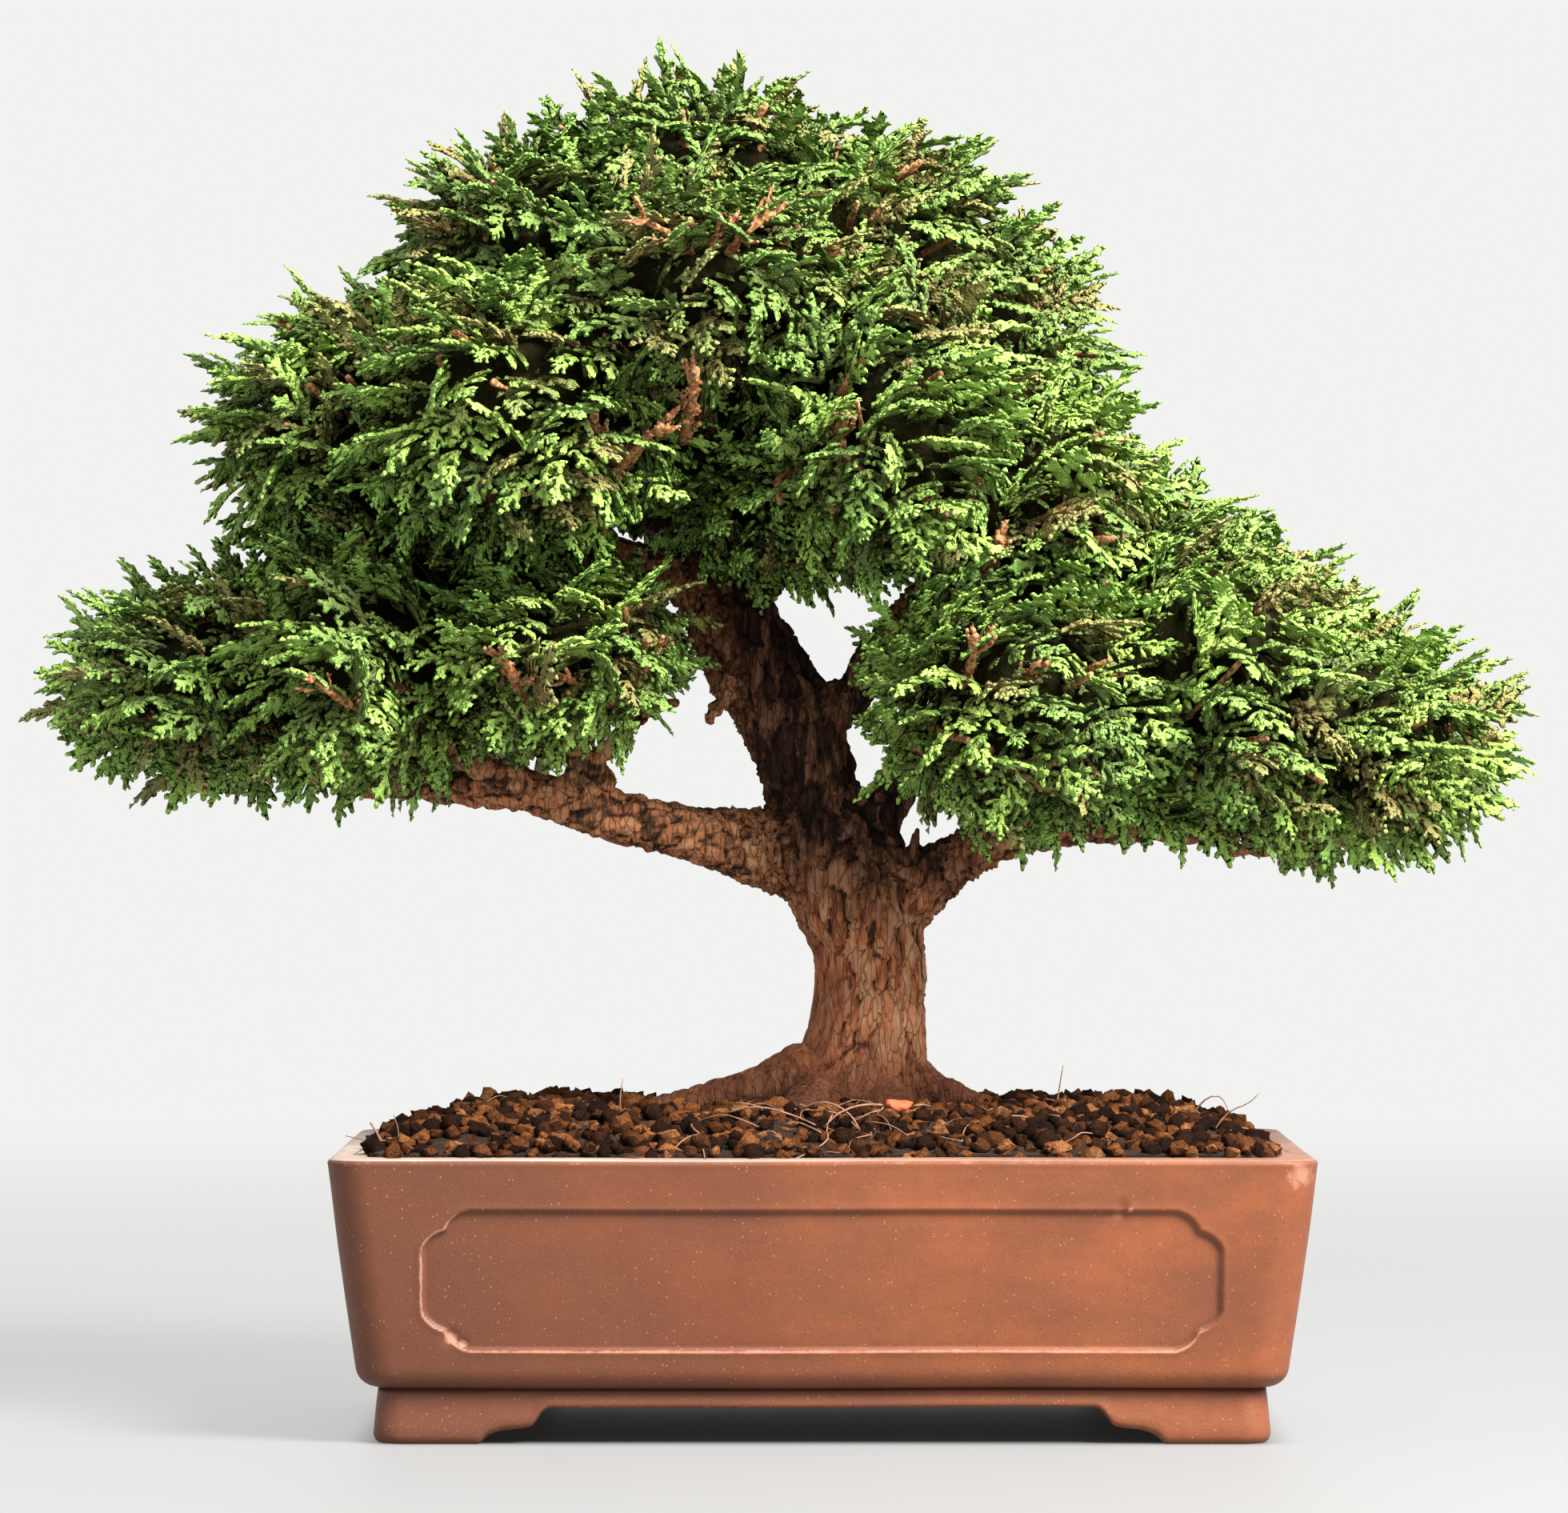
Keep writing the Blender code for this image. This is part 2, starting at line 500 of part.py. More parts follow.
def build_trunk(collection, cutters, material):
    """Trunk, limbs and roots as one grown piece, and the room that it needs in its neighbours."""
    curve = bpy.data.curves.new("stems", "CURVE")
    curve.dimensions = "3D"
    curve.bevel_depth = 1.0
    curve.bevel_resolution = STEM_BEVEL
    curve.resolution_u = STEM_STEPS
    curve.use_fill_caps = True
    for points in STEMS.values():
        spline = curve.splines.new("BEZIER")
        spline.bezier_points.add(len(points) - 1)
        for knot, (x, y, height, radius) in zip(spline.bezier_points, points):
            knot.co = place(x, y, height)
            knot.handle_left_type = knot.handle_right_type = "AUTO"
            knot.radius = radius * TRUNK_WAIST / DRAWN_WAIST
    stems = bpy.data.objects.new("stems", curve)
    cutters.objects.link(stems)
    mesh = evaluated_mesh(stems)
    bpy.data.objects.remove(stems, do_unlink=True)

    grown = add_object("grown", mesh, cutters)
    remesh = grown.modifiers.new("fuse", "REMESH")
    remesh.mode = "VOXEL"
    remesh.voxel_size = BARK_VOXEL
    smooth = grown.modifiers.new("soften", "SMOOTH")
    smooth.factor = 0.5
    smooth.iterations = 2
    thin = grown.modifiers.new("thin", "DECIMATE")
    thin.ratio = BARK_SHARE
    bark = evaluated_mesh(grown)
    bpy.data.objects.remove(grown, do_unlink=True)
    bark.name = "trunk"
    bark.shade_smooth()
    add_object("trunk", bark, collection, material)

    clearance = make_cutter("trunk_clearance", bark.copy(), cutters)
    swell = clearance.modifiers.new("clearance", "DISPLACE")
    swell.mid_level = 0.0
    swell.strength = GAP + BARK_FACET
    swollen = evaluated_mesh(clearance)
    clearance.modifiers.clear()
    clearance.data = swollen
    return clearance


def reach(half, direction):
    """How far an ellipsoid with these half sizes reaches from its centre in a direction."""
    return 1.0 / math.sqrt(sum((d / h) ** 2 for d, h in zip(direction, half)))


def pad_frame(pad):
    centre, half = pad
    return place(*centre), stretch(*half)


def build_pad(name, seed, collection, material, clearance):
    """A lumpy pad, flatter below, parted from each neighbour by a flat gap between the two."""
    centre, half = pad_frame(PADS[name])
    bm = bmesh.new()
    bmesh.ops.create_uvsphere(bm, u_segments=PAD_MERIDIANS, v_segments=PAD_RINGS, radius=1.0)
    for vert in bm.verts:
        lump = noise.noise(vert.co * PAD_LUMP_SCALE + Vector((seed * PAD_SEED_STEP, 0, 0)))
        point = vert.co * (1.0 + PAD_LUMP * lump)
        if point.z < 0:
            point.z *= PAD_UNDERSIDE
        vert.co = centre + Vector((point.x * half.x, point.y * half.y, point.z * half.z))
    for other_name, other in PADS.items():
        if other_name == name:
            continue
        other_centre, other_half = pad_frame(other)
        span = other_centre - centre
        direction = span.normalized()
        mine = reach(half, direction)
        theirs = reach(other_half, direction)
        if (mine + theirs) * NEIGHBOUR_REACH < span.length:
            continue
        meet = span.length * mine / (mine + theirs) - GAP / 2
        cut = bmesh.ops.bisect_plane(bm, geom=bm.verts[:] + bm.edges[:] + bm.faces[:], dist=WELD / 10,
                                     plane_co=centre + direction * meet, plane_no=direction,
                                     clear_outer=True)
        rim = [item for item in cut["geom_cut"] if isinstance(item, bmesh.types.BMEdge)]
        if rim:
            bmesh.ops.edgeloop_fill(bm, edges=rim)
    bmesh.ops.remove_doubles(bm, verts=bm.verts, dist=PAD_WELD)
    bmesh.ops.triangulate(bm, faces=bm.faces)
    pad = add_object(name, mesh_from_bmesh(name, bm), collection, material)
    add_boolean(pad, clearance)


def rest_on_origin(collection, cutters):
    """Carry every piece on one empty that puts the box's bottom centre at the origin."""
    bpy.context.view_layer.update()
    graph = bpy.context.evaluated_depsgraph_get()
    points = []
    for obj in collection.objects:
        solid = bpy.data.meshes.new_from_object(obj.evaluated_get(graph))
        points += [obj.matrix_world @ vert.co for vert in solid.vertices]
        bpy.data.meshes.remove(solid)
    low = [min(point[axis] for point in points) for axis in range(3)]
    high = [max(point[axis] for point in points) for axis in range(3)]
    stand = bpy.data.objects.new("stand", None)
    collection.objects.link(stand)
    for obj in list(collection.objects) + list(cutters.objects):
        if obj is not stand:
            obj.parent = stand
    stand.location = (-(low[0] + high[0]) / 2, -(low[1] + high[1]) / 2, -low[2])


def main():
    clear_scene()
    plant = make_collection("bonsai_in_pot")
    cutters = make_collection("cutters")
    clay = make_material("fired_clay", (0.33, 0.13, 0.075), 0.62)
    bark = make_material("bark", (0.26, 0.13, 0.075), 0.85)
    leaf = make_material("foliage", (0.075, 0.22, 0.045), 0.55)
    grain = make_material("akadama", (0.12, 0.055, 0.03), 0.95)
    grit = make_material("grit", (0.45, 0.38, 0.30), 0.95)
    mesh_plastic = make_material("mesh_plastic", (0.02, 0.02, 0.02), 0.5)
    wire = make_material("wire", (0.62, 0.62, 0.63), 0.35, 1.0)

    floor_low, floor_top = build_pot(plant, cutters, clay)
    for side, place_name in ((-1, "left"), (1, "right")):
        centre_x = side * DRAIN_SPACING / 2
        build_screen("drain_screen_" + place_name, centre_x, floor_top, plant, mesh_plastic)
        build_clip("screen_clip_" + place_name, centre_x, floor_low, floor_top, plant, wire)
    grit_top = build_drainage(floor_top, plant, cutters, grit)
    clearance = build_trunk(plant, cutters, bark)
    build_soil(grit_top, plant, cutters, grain, clearance)
    for seed, name in enumerate(PADS):
        build_pad(name, seed, plant, leaf, clearance)
    rest_on_origin(plant, cutters)


main()
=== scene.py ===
import json
import math
import random

import bmesh
import bpy
import numpy as np
from mathutils import Matrix, Vector, bvhtree, geometry, noise

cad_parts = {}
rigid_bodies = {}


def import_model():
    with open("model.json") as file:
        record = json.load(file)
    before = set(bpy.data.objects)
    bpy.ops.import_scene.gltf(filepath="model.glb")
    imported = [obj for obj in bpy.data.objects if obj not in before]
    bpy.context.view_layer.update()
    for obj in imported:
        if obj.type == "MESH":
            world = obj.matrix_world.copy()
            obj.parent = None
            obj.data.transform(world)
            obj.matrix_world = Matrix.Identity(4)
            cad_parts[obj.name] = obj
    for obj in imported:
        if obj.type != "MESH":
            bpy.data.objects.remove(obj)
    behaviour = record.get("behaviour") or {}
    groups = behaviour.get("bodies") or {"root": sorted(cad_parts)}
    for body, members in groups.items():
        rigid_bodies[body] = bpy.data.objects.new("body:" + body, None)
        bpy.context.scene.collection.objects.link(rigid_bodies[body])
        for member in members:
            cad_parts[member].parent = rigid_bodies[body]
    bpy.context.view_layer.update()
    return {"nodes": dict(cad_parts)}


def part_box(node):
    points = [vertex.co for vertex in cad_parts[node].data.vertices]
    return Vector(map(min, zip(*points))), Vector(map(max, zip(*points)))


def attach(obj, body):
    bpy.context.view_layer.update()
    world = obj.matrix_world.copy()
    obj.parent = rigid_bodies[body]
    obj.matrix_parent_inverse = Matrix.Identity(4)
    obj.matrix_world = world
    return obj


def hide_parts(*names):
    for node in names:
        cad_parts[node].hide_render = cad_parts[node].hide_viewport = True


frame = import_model()
mm = 0.001
potLow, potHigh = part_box("pot")
potCentre = Vector(((potLow.x + potHigh.x) / 2, (potLow.y + potHigh.y) / 2, 0.0))
padNodes = sorted(name for name in frame["nodes"] if name.startswith("foliage_"))


# makes a node, sets its fields, and links or fills its inputs by name or number
def addNode(tree, kind, inputs=None, **settings):
    made = tree.nodes.new(kind)
    for name, value in settings.items():
        setattr(made, name, value)
    for name, value in (inputs or {}).items():
        if isinstance(value, bpy.types.NodeSocket):
            tree.links.new(value, made.inputs[name])
        else:
            made.inputs[name].default_value = value
    return made


def doMath(tree, operation, first, second=0.0, third=None, clamp=False):
    inputs = {0: first, 1: second}
    if third is not None:
        inputs[2] = third
    return addNode(tree, "ShaderNodeMath", inputs, operation=operation, use_clamp=clamp).outputs[0]


def doVector(tree, operation, first, second=None, scale=None):
    inputs = {0: first}
    if second is not None:
        inputs[1] = second
    if scale is not None:
        inputs["Scale"] = scale
    made = addNode(tree, "ShaderNodeVectorMath", inputs, operation=operation)
    return made.outputs["Value" if operation in ("LENGTH", "DOT_PRODUCT", "DISTANCE") else "Vector"]


def mixColours(tree, factor, first, second, blend="MIX"):
    made = tree.nodes.new("ShaderNodeMix")
    made.data_type = "RGBA"
    made.blend_type = blend
    for index, value in ((0, factor), (6, first), (7, second)):
        if isinstance(value, bpy.types.NodeSocket):
            tree.links.new(value, made.inputs[index])
        elif index:
            made.inputs[index].default_value = (*value[:3], 1.0)
        else:
            made.inputs[index].default_value = value
    return made.outputs[2]


def stretchRange(tree, value, low, high, toLow=0.0, toHigh=1.0):
    return addNode(tree, "ShaderNodeMapRange", {0: value, 1: low, 2: high, 3: toLow, 4: toHigh},
                   interpolation_type="SMOOTHSTEP").outputs[0]


def colourRamp(tree, factor, stops):
    made = addNode(tree, "ShaderNodeValToRGB", {0: factor})
    ramp = made.color_ramp
    while len(ramp.elements) < len(stops):
        ramp.elements.new(0.5)
    for element, (place, colour) in zip(ramp.elements, stops):
        element.position = place
        element.color = (*colour, 1.0)
    return made.outputs[0]


# a shader group with named sockets, given as (name, default) and (name, kind)
def makeGroup(name, inputs, outputs):
    group = bpy.data.node_groups.new(name, "ShaderNodeTree")
    for label, value in inputs:
        kind = "NodeSocketVector" if value is None else "NodeSocketFloat"
        socket = group.interface.new_socket(name=label, in_out="INPUT", socket_type=kind)
        if value is not None:
            socket.default_value = value
    for label in outputs:
        group.interface.new_socket(name=label, in_out="OUTPUT", socket_type="NodeSocketFloat")
    return group, group.nodes.new("NodeGroupInput"), group.nodes.new("NodeGroupOutput")


def buildSpeckleGroup():
    group, given, result = makeGroup("speckle", [("Place", None), ("Size", 400.0), ("Amount", 0.3)],
                                     ["Pale", "Dark"])
    for label, factor in (("Pale", 1.0), ("Dark", 1.37)):
        scale = doMath(group, "MULTIPLY", given.outputs["Size"], factor)
        cell = addNode(group, "ShaderNodeTexVoronoi", {"Vector": given.outputs["Place"], "Scale": scale})
        pick = addNode(group, "ShaderNodeSeparateColor", {0: cell.outputs["Color"]}).outputs[0]
        chosen = doMath(group, "LESS_THAN", pick, given.outputs["Amount"])
        dot = stretchRange(group, cell.outputs["Distance"], 0.12, 0.34, 1.0, 0.0)
        group.links.new(doMath(group, "MULTIPLY", chosen, dot), result.inputs[label])
    return group


def buildMottleGroup():
    group, given, result = makeGroup("mottle", [("Place", None), ("Size", 40.0), ("Sharpness", 0.5)],
                                     ["Mask"])
    cloud = addNode(group, "ShaderNodeTexNoise", {
        "Vector": given.outputs["Place"], "Scale": given.outputs["Size"], "Detail": 6.0,
        "Roughness": 0.6})
    spread = doMath(group, "SUBTRACT", 0.5, doMath(group, "MULTIPLY", given.outputs["Sharpness"], 0.4))
    low = doMath(group, "SUBTRACT", 0.5, spread)
    high = doMath(group, "ADD", 0.5, spread)
    group.links.new(stretchRange(group, cloud.outputs[0], low, high), result.inputs["Mask"])
    return group


def buildGritGroup():
    group, given, result = makeGroup("gritty", [("Place", None), ("Size", 1500.0), ("Coarse", 0.5)],
                                     ["Height"])
    fine = addNode(group, "ShaderNodeTexNoise", {
        "Vector": given.outputs["Place"], "Scale": given.outputs["Size"], "Detail": 4.0,
        "Roughness": 0.65})
    wide = doMath(group, "MULTIPLY", given.outputs["Size"], 0.22)
    coarse = addNode(group, "ShaderNodeTexNoise", {
        "Vector": given.outputs["Place"], "Scale": wide, "Detail": 3.0, "Roughness": 0.5})
    part = doMath(group, "MULTIPLY", coarse.outputs[0], given.outputs["Coarse"])
    group.links.new(doMath(group, "ADD", fine.outputs[0], part), result.inputs["Height"])
    return group


# a patchy mask for edge wear and for the painted highlight on the panel's edges
def buildWearGroup():
    group, given, result = makeGroup("edgeWear", [("Place", None), ("Wear", 0.0), ("Size", 300.0),
                                                  ("Patchy", 0.5)], ["Mask"])
    cloud = addNode(group, "ShaderNodeTexNoise", {
        "Vector": given.outputs["Place"], "Scale": given.outputs["Size"], "Detail": 5.0,
        "Roughness": 0.7})
    cut = doMath(group, "MULTIPLY", doMath(group, "SUBTRACT", cloud.outputs[0], 0.5),
                 given.outputs["Patchy"])
    total = doMath(group, "ADD", given.outputs["Wear"], doMath(group, "MULTIPLY", cut, 2.0))
    shown = stretchRange(group, total, 0.35, 0.75)
    held = doMath(group, "MULTIPLY", shown, stretchRange(group, given.outputs["Wear"], 0.02, 0.2))
    group.links.new(held, result.inputs["Mask"])
    return group


speckleGroup = buildSpeckleGroup()
mottleGroup = buildMottleGroup()
grittyGroup = buildGritGroup()
wearAndHighlightGroup = buildWearGroup()
print("shader groups ready")


def useGroup(tree, group, **inputs):
    made = tree.nodes.new("ShaderNodeGroup")
    made.node_tree = group
    for name, value in inputs.items():
        if isinstance(value, bpy.types.NodeSocket):
            tree.links.new(value, made.inputs[name])
        else:
            made.inputs[name].default_value = value
    return made.outputs


def newMaterial(name, roughness=0.6, specular=0.4):
    material = bpy.data.materials.new(name)
    material.use_nodes = True
    tree = material.node_tree
    shader = tree.nodes["Principled BSDF"]
    shader.inputs["Roughness"].default_value = roughness
    shader.inputs["Specular IOR Level"].default_value = specular
    place = addNode(tree, "ShaderNodeTexCoord").outputs["Object"]
    return material, tree, shader, place


def readAttribute(tree, name):
    return addNode(tree, "ShaderNodeAttribute", attribute_name=name).outputs["Fac"]


def addBump(tree, shader, height, distance, strength=1.0):
    bump = addNode(tree, "ShaderNodeBump", {"Height": height, "Distance": distance,
                                            "Strength": strength})
    tree.links.new(bump.outputs[0], shader.inputs["Normal"])


# mauve also colours the painted shade at the pot's left end, worn also the painted highlight on the panel's
# edges; rimSheen is the painted reflection on the rim's top
claySettings = {
    "base": (0.168, 0.045, 0.0175), "mauve": (0.100, 0.036, 0.0200), "bright": (0.285, 0.085, 0.0310),
    "paleSpeck": (0.45, 0.23, 0.14), "darkSpeck": (0.06, 0.022, 0.015), "worn": (0.42, 0.21, 0.14),
    "rimSheen": (0.46, 0.38, 0.32),
}


def buildClay():
    material, tree, shader, place = newMaterial("claySkin", 0.5, 0.28)
    s = claySettings
    broad = useGroup(tree, mottleGroup, Place=place, Size=18.0, Sharpness=0.5)["Mask"]
    drawn = addNode(tree, "ShaderNodeMapping", {"Vector": place, "Scale": (0.45, 0.45, 1.0)})
    cloudy = useGroup(tree, mottleGroup, Place=drawn.outputs[0], Size=90.0, Sharpness=0.55)["Mask"]
    colour = mixColours(tree, broad, s["base"], s["bright"])
    colour = mixColours(tree, doMath(tree, "MULTIPLY", cloudy, 0.55), colour, s["mauve"])
    end = addNode(tree, "ShaderNodeSeparateXYZ", {0: place}).outputs["X"]
    # painted shade: the left end, further from the light, drawn towards mauve
    leftSideShade = stretchRange(tree, end, 0.06, -0.10)
    colour = mixColours(tree, doMath(tree, "MULTIPLY", leftSideShade, 0.78), colour, s["mauve"])
    blotch = useGroup(tree, mottleGroup, Place=place, Size=420.0, Sharpness=0.6)["Mask"]
    colour = mixColours(tree, doMath(tree, "MULTIPLY", blotch, 0.22), colour, s["mauve"])
    specks = useGroup(tree, speckleGroup, Place=place, Size=1300.0, Amount=0.07)
    fine = useGroup(tree, speckleGroup, Place=place, Size=3000.0, Amount=0.20)
    colour = mixColours(tree, doMath(tree, "MULTIPLY", specks["Pale"], 0.45), colour, s["paleSpeck"])
    colour = mixColours(tree, doMath(tree, "MULTIPLY", specks["Dark"], 0.6), colour, s["darkSpeck"])
    colour = mixColours(tree, doMath(tree, "MULTIPLY", fine["Pale"], 0.34), colour, s["paleSpeck"])
    colour = mixColours(tree, doMath(tree, "MULTIPLY", fine["Dark"], 0.4), colour, s["darkSpeck"])
    # the pale worn colour follows wear on the chips, rim and foot edges, and is painted highlight along the
    # panel's lower and left edges, which face the light
    wearAndHighlight = useGroup(tree, wearAndHighlightGroup, Place=place, Wear=readAttribute(tree, "wearAndHighlight"), Size=420.0,
                    Patchy=0.55)["Mask"]
    colour = mixColours(tree, doMath(tree, "MULTIPLY", wearAndHighlight, 0.60), colour, s["worn"])
    # painted reflection: the rim's top turned pale, fading from the left end towards the right
    rimSheen = stretchRange(tree, readAttribute(tree, "rimSheen"), 0.25, 0.9)
    rimSheen = doMath(tree, "MULTIPLY", rimSheen, doMath(tree, "SUBTRACT", 0.85, doMath(
        tree, "MULTIPLY", cloudy, 0.35)))
    rimSheen = doMath(tree, "MULTIPLY", rimSheen, stretchRange(tree, end, 0.07, -0.06, 0.30, 1.0))
    colour = mixColours(tree, rimSheen, colour, s["rimSheen"])
    # painted shade: the crease at the skirt joint, the foot line and the inside of the panel's bevel darkened
    # towards near-black
    creaseShade = readAttribute(tree, "creaseShade")
    colour = mixColours(tree, doMath(tree, "MULTIPLY", creaseShade, 0.75), colour, (0.05, 0.022, 0.016))
    tree.links.new(colour, shader.inputs["Base Color"])
    rough = doMath(tree, "ADD", 0.44, doMath(tree, "MULTIPLY", cloudy, 0.14))
    rough = doMath(tree, "ADD", rough, doMath(tree, "MULTIPLY", wearAndHighlight, 0.15))
    tree.links.new(rough, shader.inputs["Roughness"])
    height = useGroup(tree, grittyGroup, Place=place, Size=1700.0, Coarse=0.7)["Height"]
    pits = doMath(tree, "MULTIPLY", specks["Dark"], -0.8)
    addBump(tree, shader, doMath(tree, "ADD", height, pits), 0.00010, 0.5)
    return material


barkSettings = {
    "orange": (0.800, 0.290, 0.125), "tan": (0.860, 0.440, 0.235), "brown": (0.200, 0.080, 0.042),
    "red": (0.430, 0.140, 0.065), "dark": (0.026, 0.016, 0.012), "crack": (0.010, 0.006, 0.005),
    "grey": (0.180, 0.140, 0.110), "moss": (0.260, 0.200, 0.090), "smooth": (0.400, 0.135, 0.065),
    "darkBelow": (0.072, 0.024, 0.012),
}


def buildBark():
    material, tree, shader, place = newMaterial("barkSkin", 0.8, 0.12)
    s = barkSettings
    height = addNode(tree, "ShaderNodeSeparateXYZ", {0: place}).outputs["Z"]
    strips = addNode(tree, "ShaderNodeMapping", {"Vector": place, "Scale": (1.0, 1.0, 0.22)})
    strand = useGroup(tree, mottleGroup, Place=strips.outputs[0], Size=520.0, Sharpness=0.7)["Mask"]
    patch = useGroup(tree, mottleGroup, Place=place, Size=90.0, Sharpness=0.6)["Mask"]
    fleck = useGroup(tree, mottleGroup, Place=place, Size=900.0, Sharpness=0.7)["Mask"]
    plate = readAttribute(tree, "plate")
    shade = doMath(tree, "ADD", doMath(tree, "MULTIPLY", plate, 0.6),
                   doMath(tree, "MULTIPLY", strand, 0.4))
    lower = colourRamp(tree, shade, [(0.12, s["brown"]), (0.28, s["red"]), (0.46, s["orange"]),
                                     (0.72, s["tan"])])
    worn = doMath(tree, "MULTIPLY", readAttribute(tree, "worn"), doMath(
        tree, "SUBTRACT", 1.0, doMath(tree, "MULTIPLY", fleck, 0.5)))
    lower = mixColours(tree, doMath(tree, "MULTIPLY", worn, 0.75), lower, s["smooth"])
    limbs = colourRamp(tree, shade, [(0.08, s["dark"]), (0.30, s["brown"]), (0.52, s["orange"]),
                                     (0.80, s["tan"])])
    limbs = mixColours(tree, doMath(tree, "MULTIPLY", patch, 0.40), limbs, s["moss"])
    limb = readAttribute(tree, "limb")
    colour = mixColours(tree, limb, lower, limbs)
    old = colourRamp(tree, shade, [(0.20, s["crack"]), (0.50, s["dark"]), (0.72, s["brown"]),
                                   (0.95, s["grey"])])
    aged = stretchRange(tree, doMath(tree, "ADD", height, doMath(tree, "MULTIPLY", patch, 0.012)),
                        0.102, 0.128)
    aged = doMath(tree, "MULTIPLY", aged, doMath(tree, "SUBTRACT", 1.0, doMath(
        tree, "MULTIPLY", limb, 0.9)))
    colour = mixColours(tree, doMath(tree, "MULTIPLY", aged, 0.95), colour, old)
    # darker towards the bottom of the trunk, just above the soil
    darkBelow = stretchRange(tree, doMath(tree, "ADD", height, doMath(
        tree, "MULTIPLY", patch, 0.008)), 0.088, 0.073)
    colour = mixColours(tree, doMath(tree, "MULTIPLY", darkBelow, 0.85), colour, s["darkBelow"])
    relief = readAttribute(tree, "relief")
    crack = stretchRange(tree, relief, 0.36, 0.16)
    plain = doMath(tree, "SUBTRACT", 1.0, doMath(tree, "MULTIPLY", worn, 0.8))
    crack = doMath(tree, "MULTIPLY", crack, plain)
    colour = mixColours(tree, doMath(tree, "MULTIPLY", crack, 0.82), colour, s["crack"])
    colour = mixColours(tree, doMath(tree, "MULTIPLY", fleck, 0.14), colour, s["dark"])
    seam = addNode(tree, "ShaderNodeTexVoronoi", {"Vector": strips.outputs[0], "Scale": 620.0},
                   feature="DISTANCE_TO_EDGE").outputs["Distance"]
    seam = doMath(tree, "MULTIPLY", stretchRange(tree, seam, 0.07, 0.015), plain)
    colour = mixColours(tree, doMath(tree, "MULTIPLY", seam, 0.30), colour, s["crack"])
    tree.links.new(colour, shader.inputs["Base Color"])
    tree.links.new(doMath(tree, "ADD", 0.62, doMath(tree, "MULTIPLY", fleck, 0.25)),
                   shader.inputs["Roughness"])
    fibre = addNode(tree, "ShaderNodeTexNoise", {"Vector": strips.outputs[0], "Scale": 1500.0,
                                                 "Detail": 5.0, "Roughness": 0.7})
    flakes = addNode(tree, "ShaderNodeTexVoronoi", {"Vector": strips.outputs[0], "Scale": 700.0})
    total = doMath(tree, "ADD", fibre.outputs[0], doMath(tree, "MULTIPLY", flakes.outputs[0], 0.8))
    total = doMath(tree, "SUBTRACT", total, seam)
    addBump(tree, shader, total, 0.0010, 1.0)
    return material


twigSettings = {"red": (0.330, 0.115, 0.042), "brown": (0.120, 0.048, 0.024),
                "tan": (0.460, 0.240, 0.110)}


def buildTwigSkin():
    material, tree, shader, place = newMaterial("twigSkin", 0.75, 0.12)
    s = twigSettings
    patch = useGroup(tree, mottleGroup, Place=place, Size=260.0, Sharpness=0.7)["Mask"]
    scale = addNode(tree, "ShaderNodeTexVoronoi", {"Vector": place, "Scale": 900.0})
    colour = mixColours(tree, patch, s["brown"], s["red"])
    colour = mixColours(tree, stretchRange(tree, scale.outputs[0], 0.35, 0.7), colour, s["tan"])
    tree.links.new(colour, shader.inputs["Base Color"])
    tree.links.new(doMath(tree, "ADD", 0.62, doMath(tree, "MULTIPLY", patch, 0.2)),
                   shader.inputs["Roughness"])
    addBump(tree, shader, scale.outputs[0], 0.0004, 0.8)
    return material


def buildCutWood():
    material, tree, shader, place = newMaterial("cutWood", 0.8, 0.2)
    patch = useGroup(tree, mottleGroup, Place=place, Size=500.0, Sharpness=0.7)["Mask"]
    fleck = useGroup(tree, mottleGroup, Place=place, Size=1800.0, Sharpness=0.6)["Mask"]
    colour = mixColours(tree, patch, (0.36, 0.17, 0.075), (0.58, 0.36, 0.20))
    colour = mixColours(tree, doMath(tree, "MULTIPLY", fleck, 0.3), colour, (0.15, 0.07, 0.035))
    tree.links.new(colour, shader.inputs["Base Color"])
    tree.links.new(doMath(tree, "ADD", 0.7, doMath(tree, "MULTIPLY", fleck, 0.2)),
                   shader.inputs["Roughness"])
    addBump(tree, shader, fleck, 0.0002, 0.7)
    return material


# the spray's map holds its tone across and its age along: 0 old wood end, 1 growing tip
leafSettings = {
    "deep": [(0.0, (0.060, 0.044, 0.016)), (0.40, (0.135, 0.200, 0.050)),
             (0.75, (0.265, 0.475, 0.095)), (1.0, (0.400, 0.690, 0.175))],
    "fresh": [(0.0, (0.120, 0.100, 0.028)), (0.38, (0.310, 0.450, 0.085)),
              (0.72, (0.450, 0.760, 0.150)), (1.0, (0.600, 0.910, 0.250))],
    "olive": [(0.0, (0.230, 0.090, 0.042)), (0.45, (0.250, 0.215, 0.070)),
              (0.80, (0.380, 0.390, 0.125)), (1.0, (0.740, 0.440, 0.220))],
}


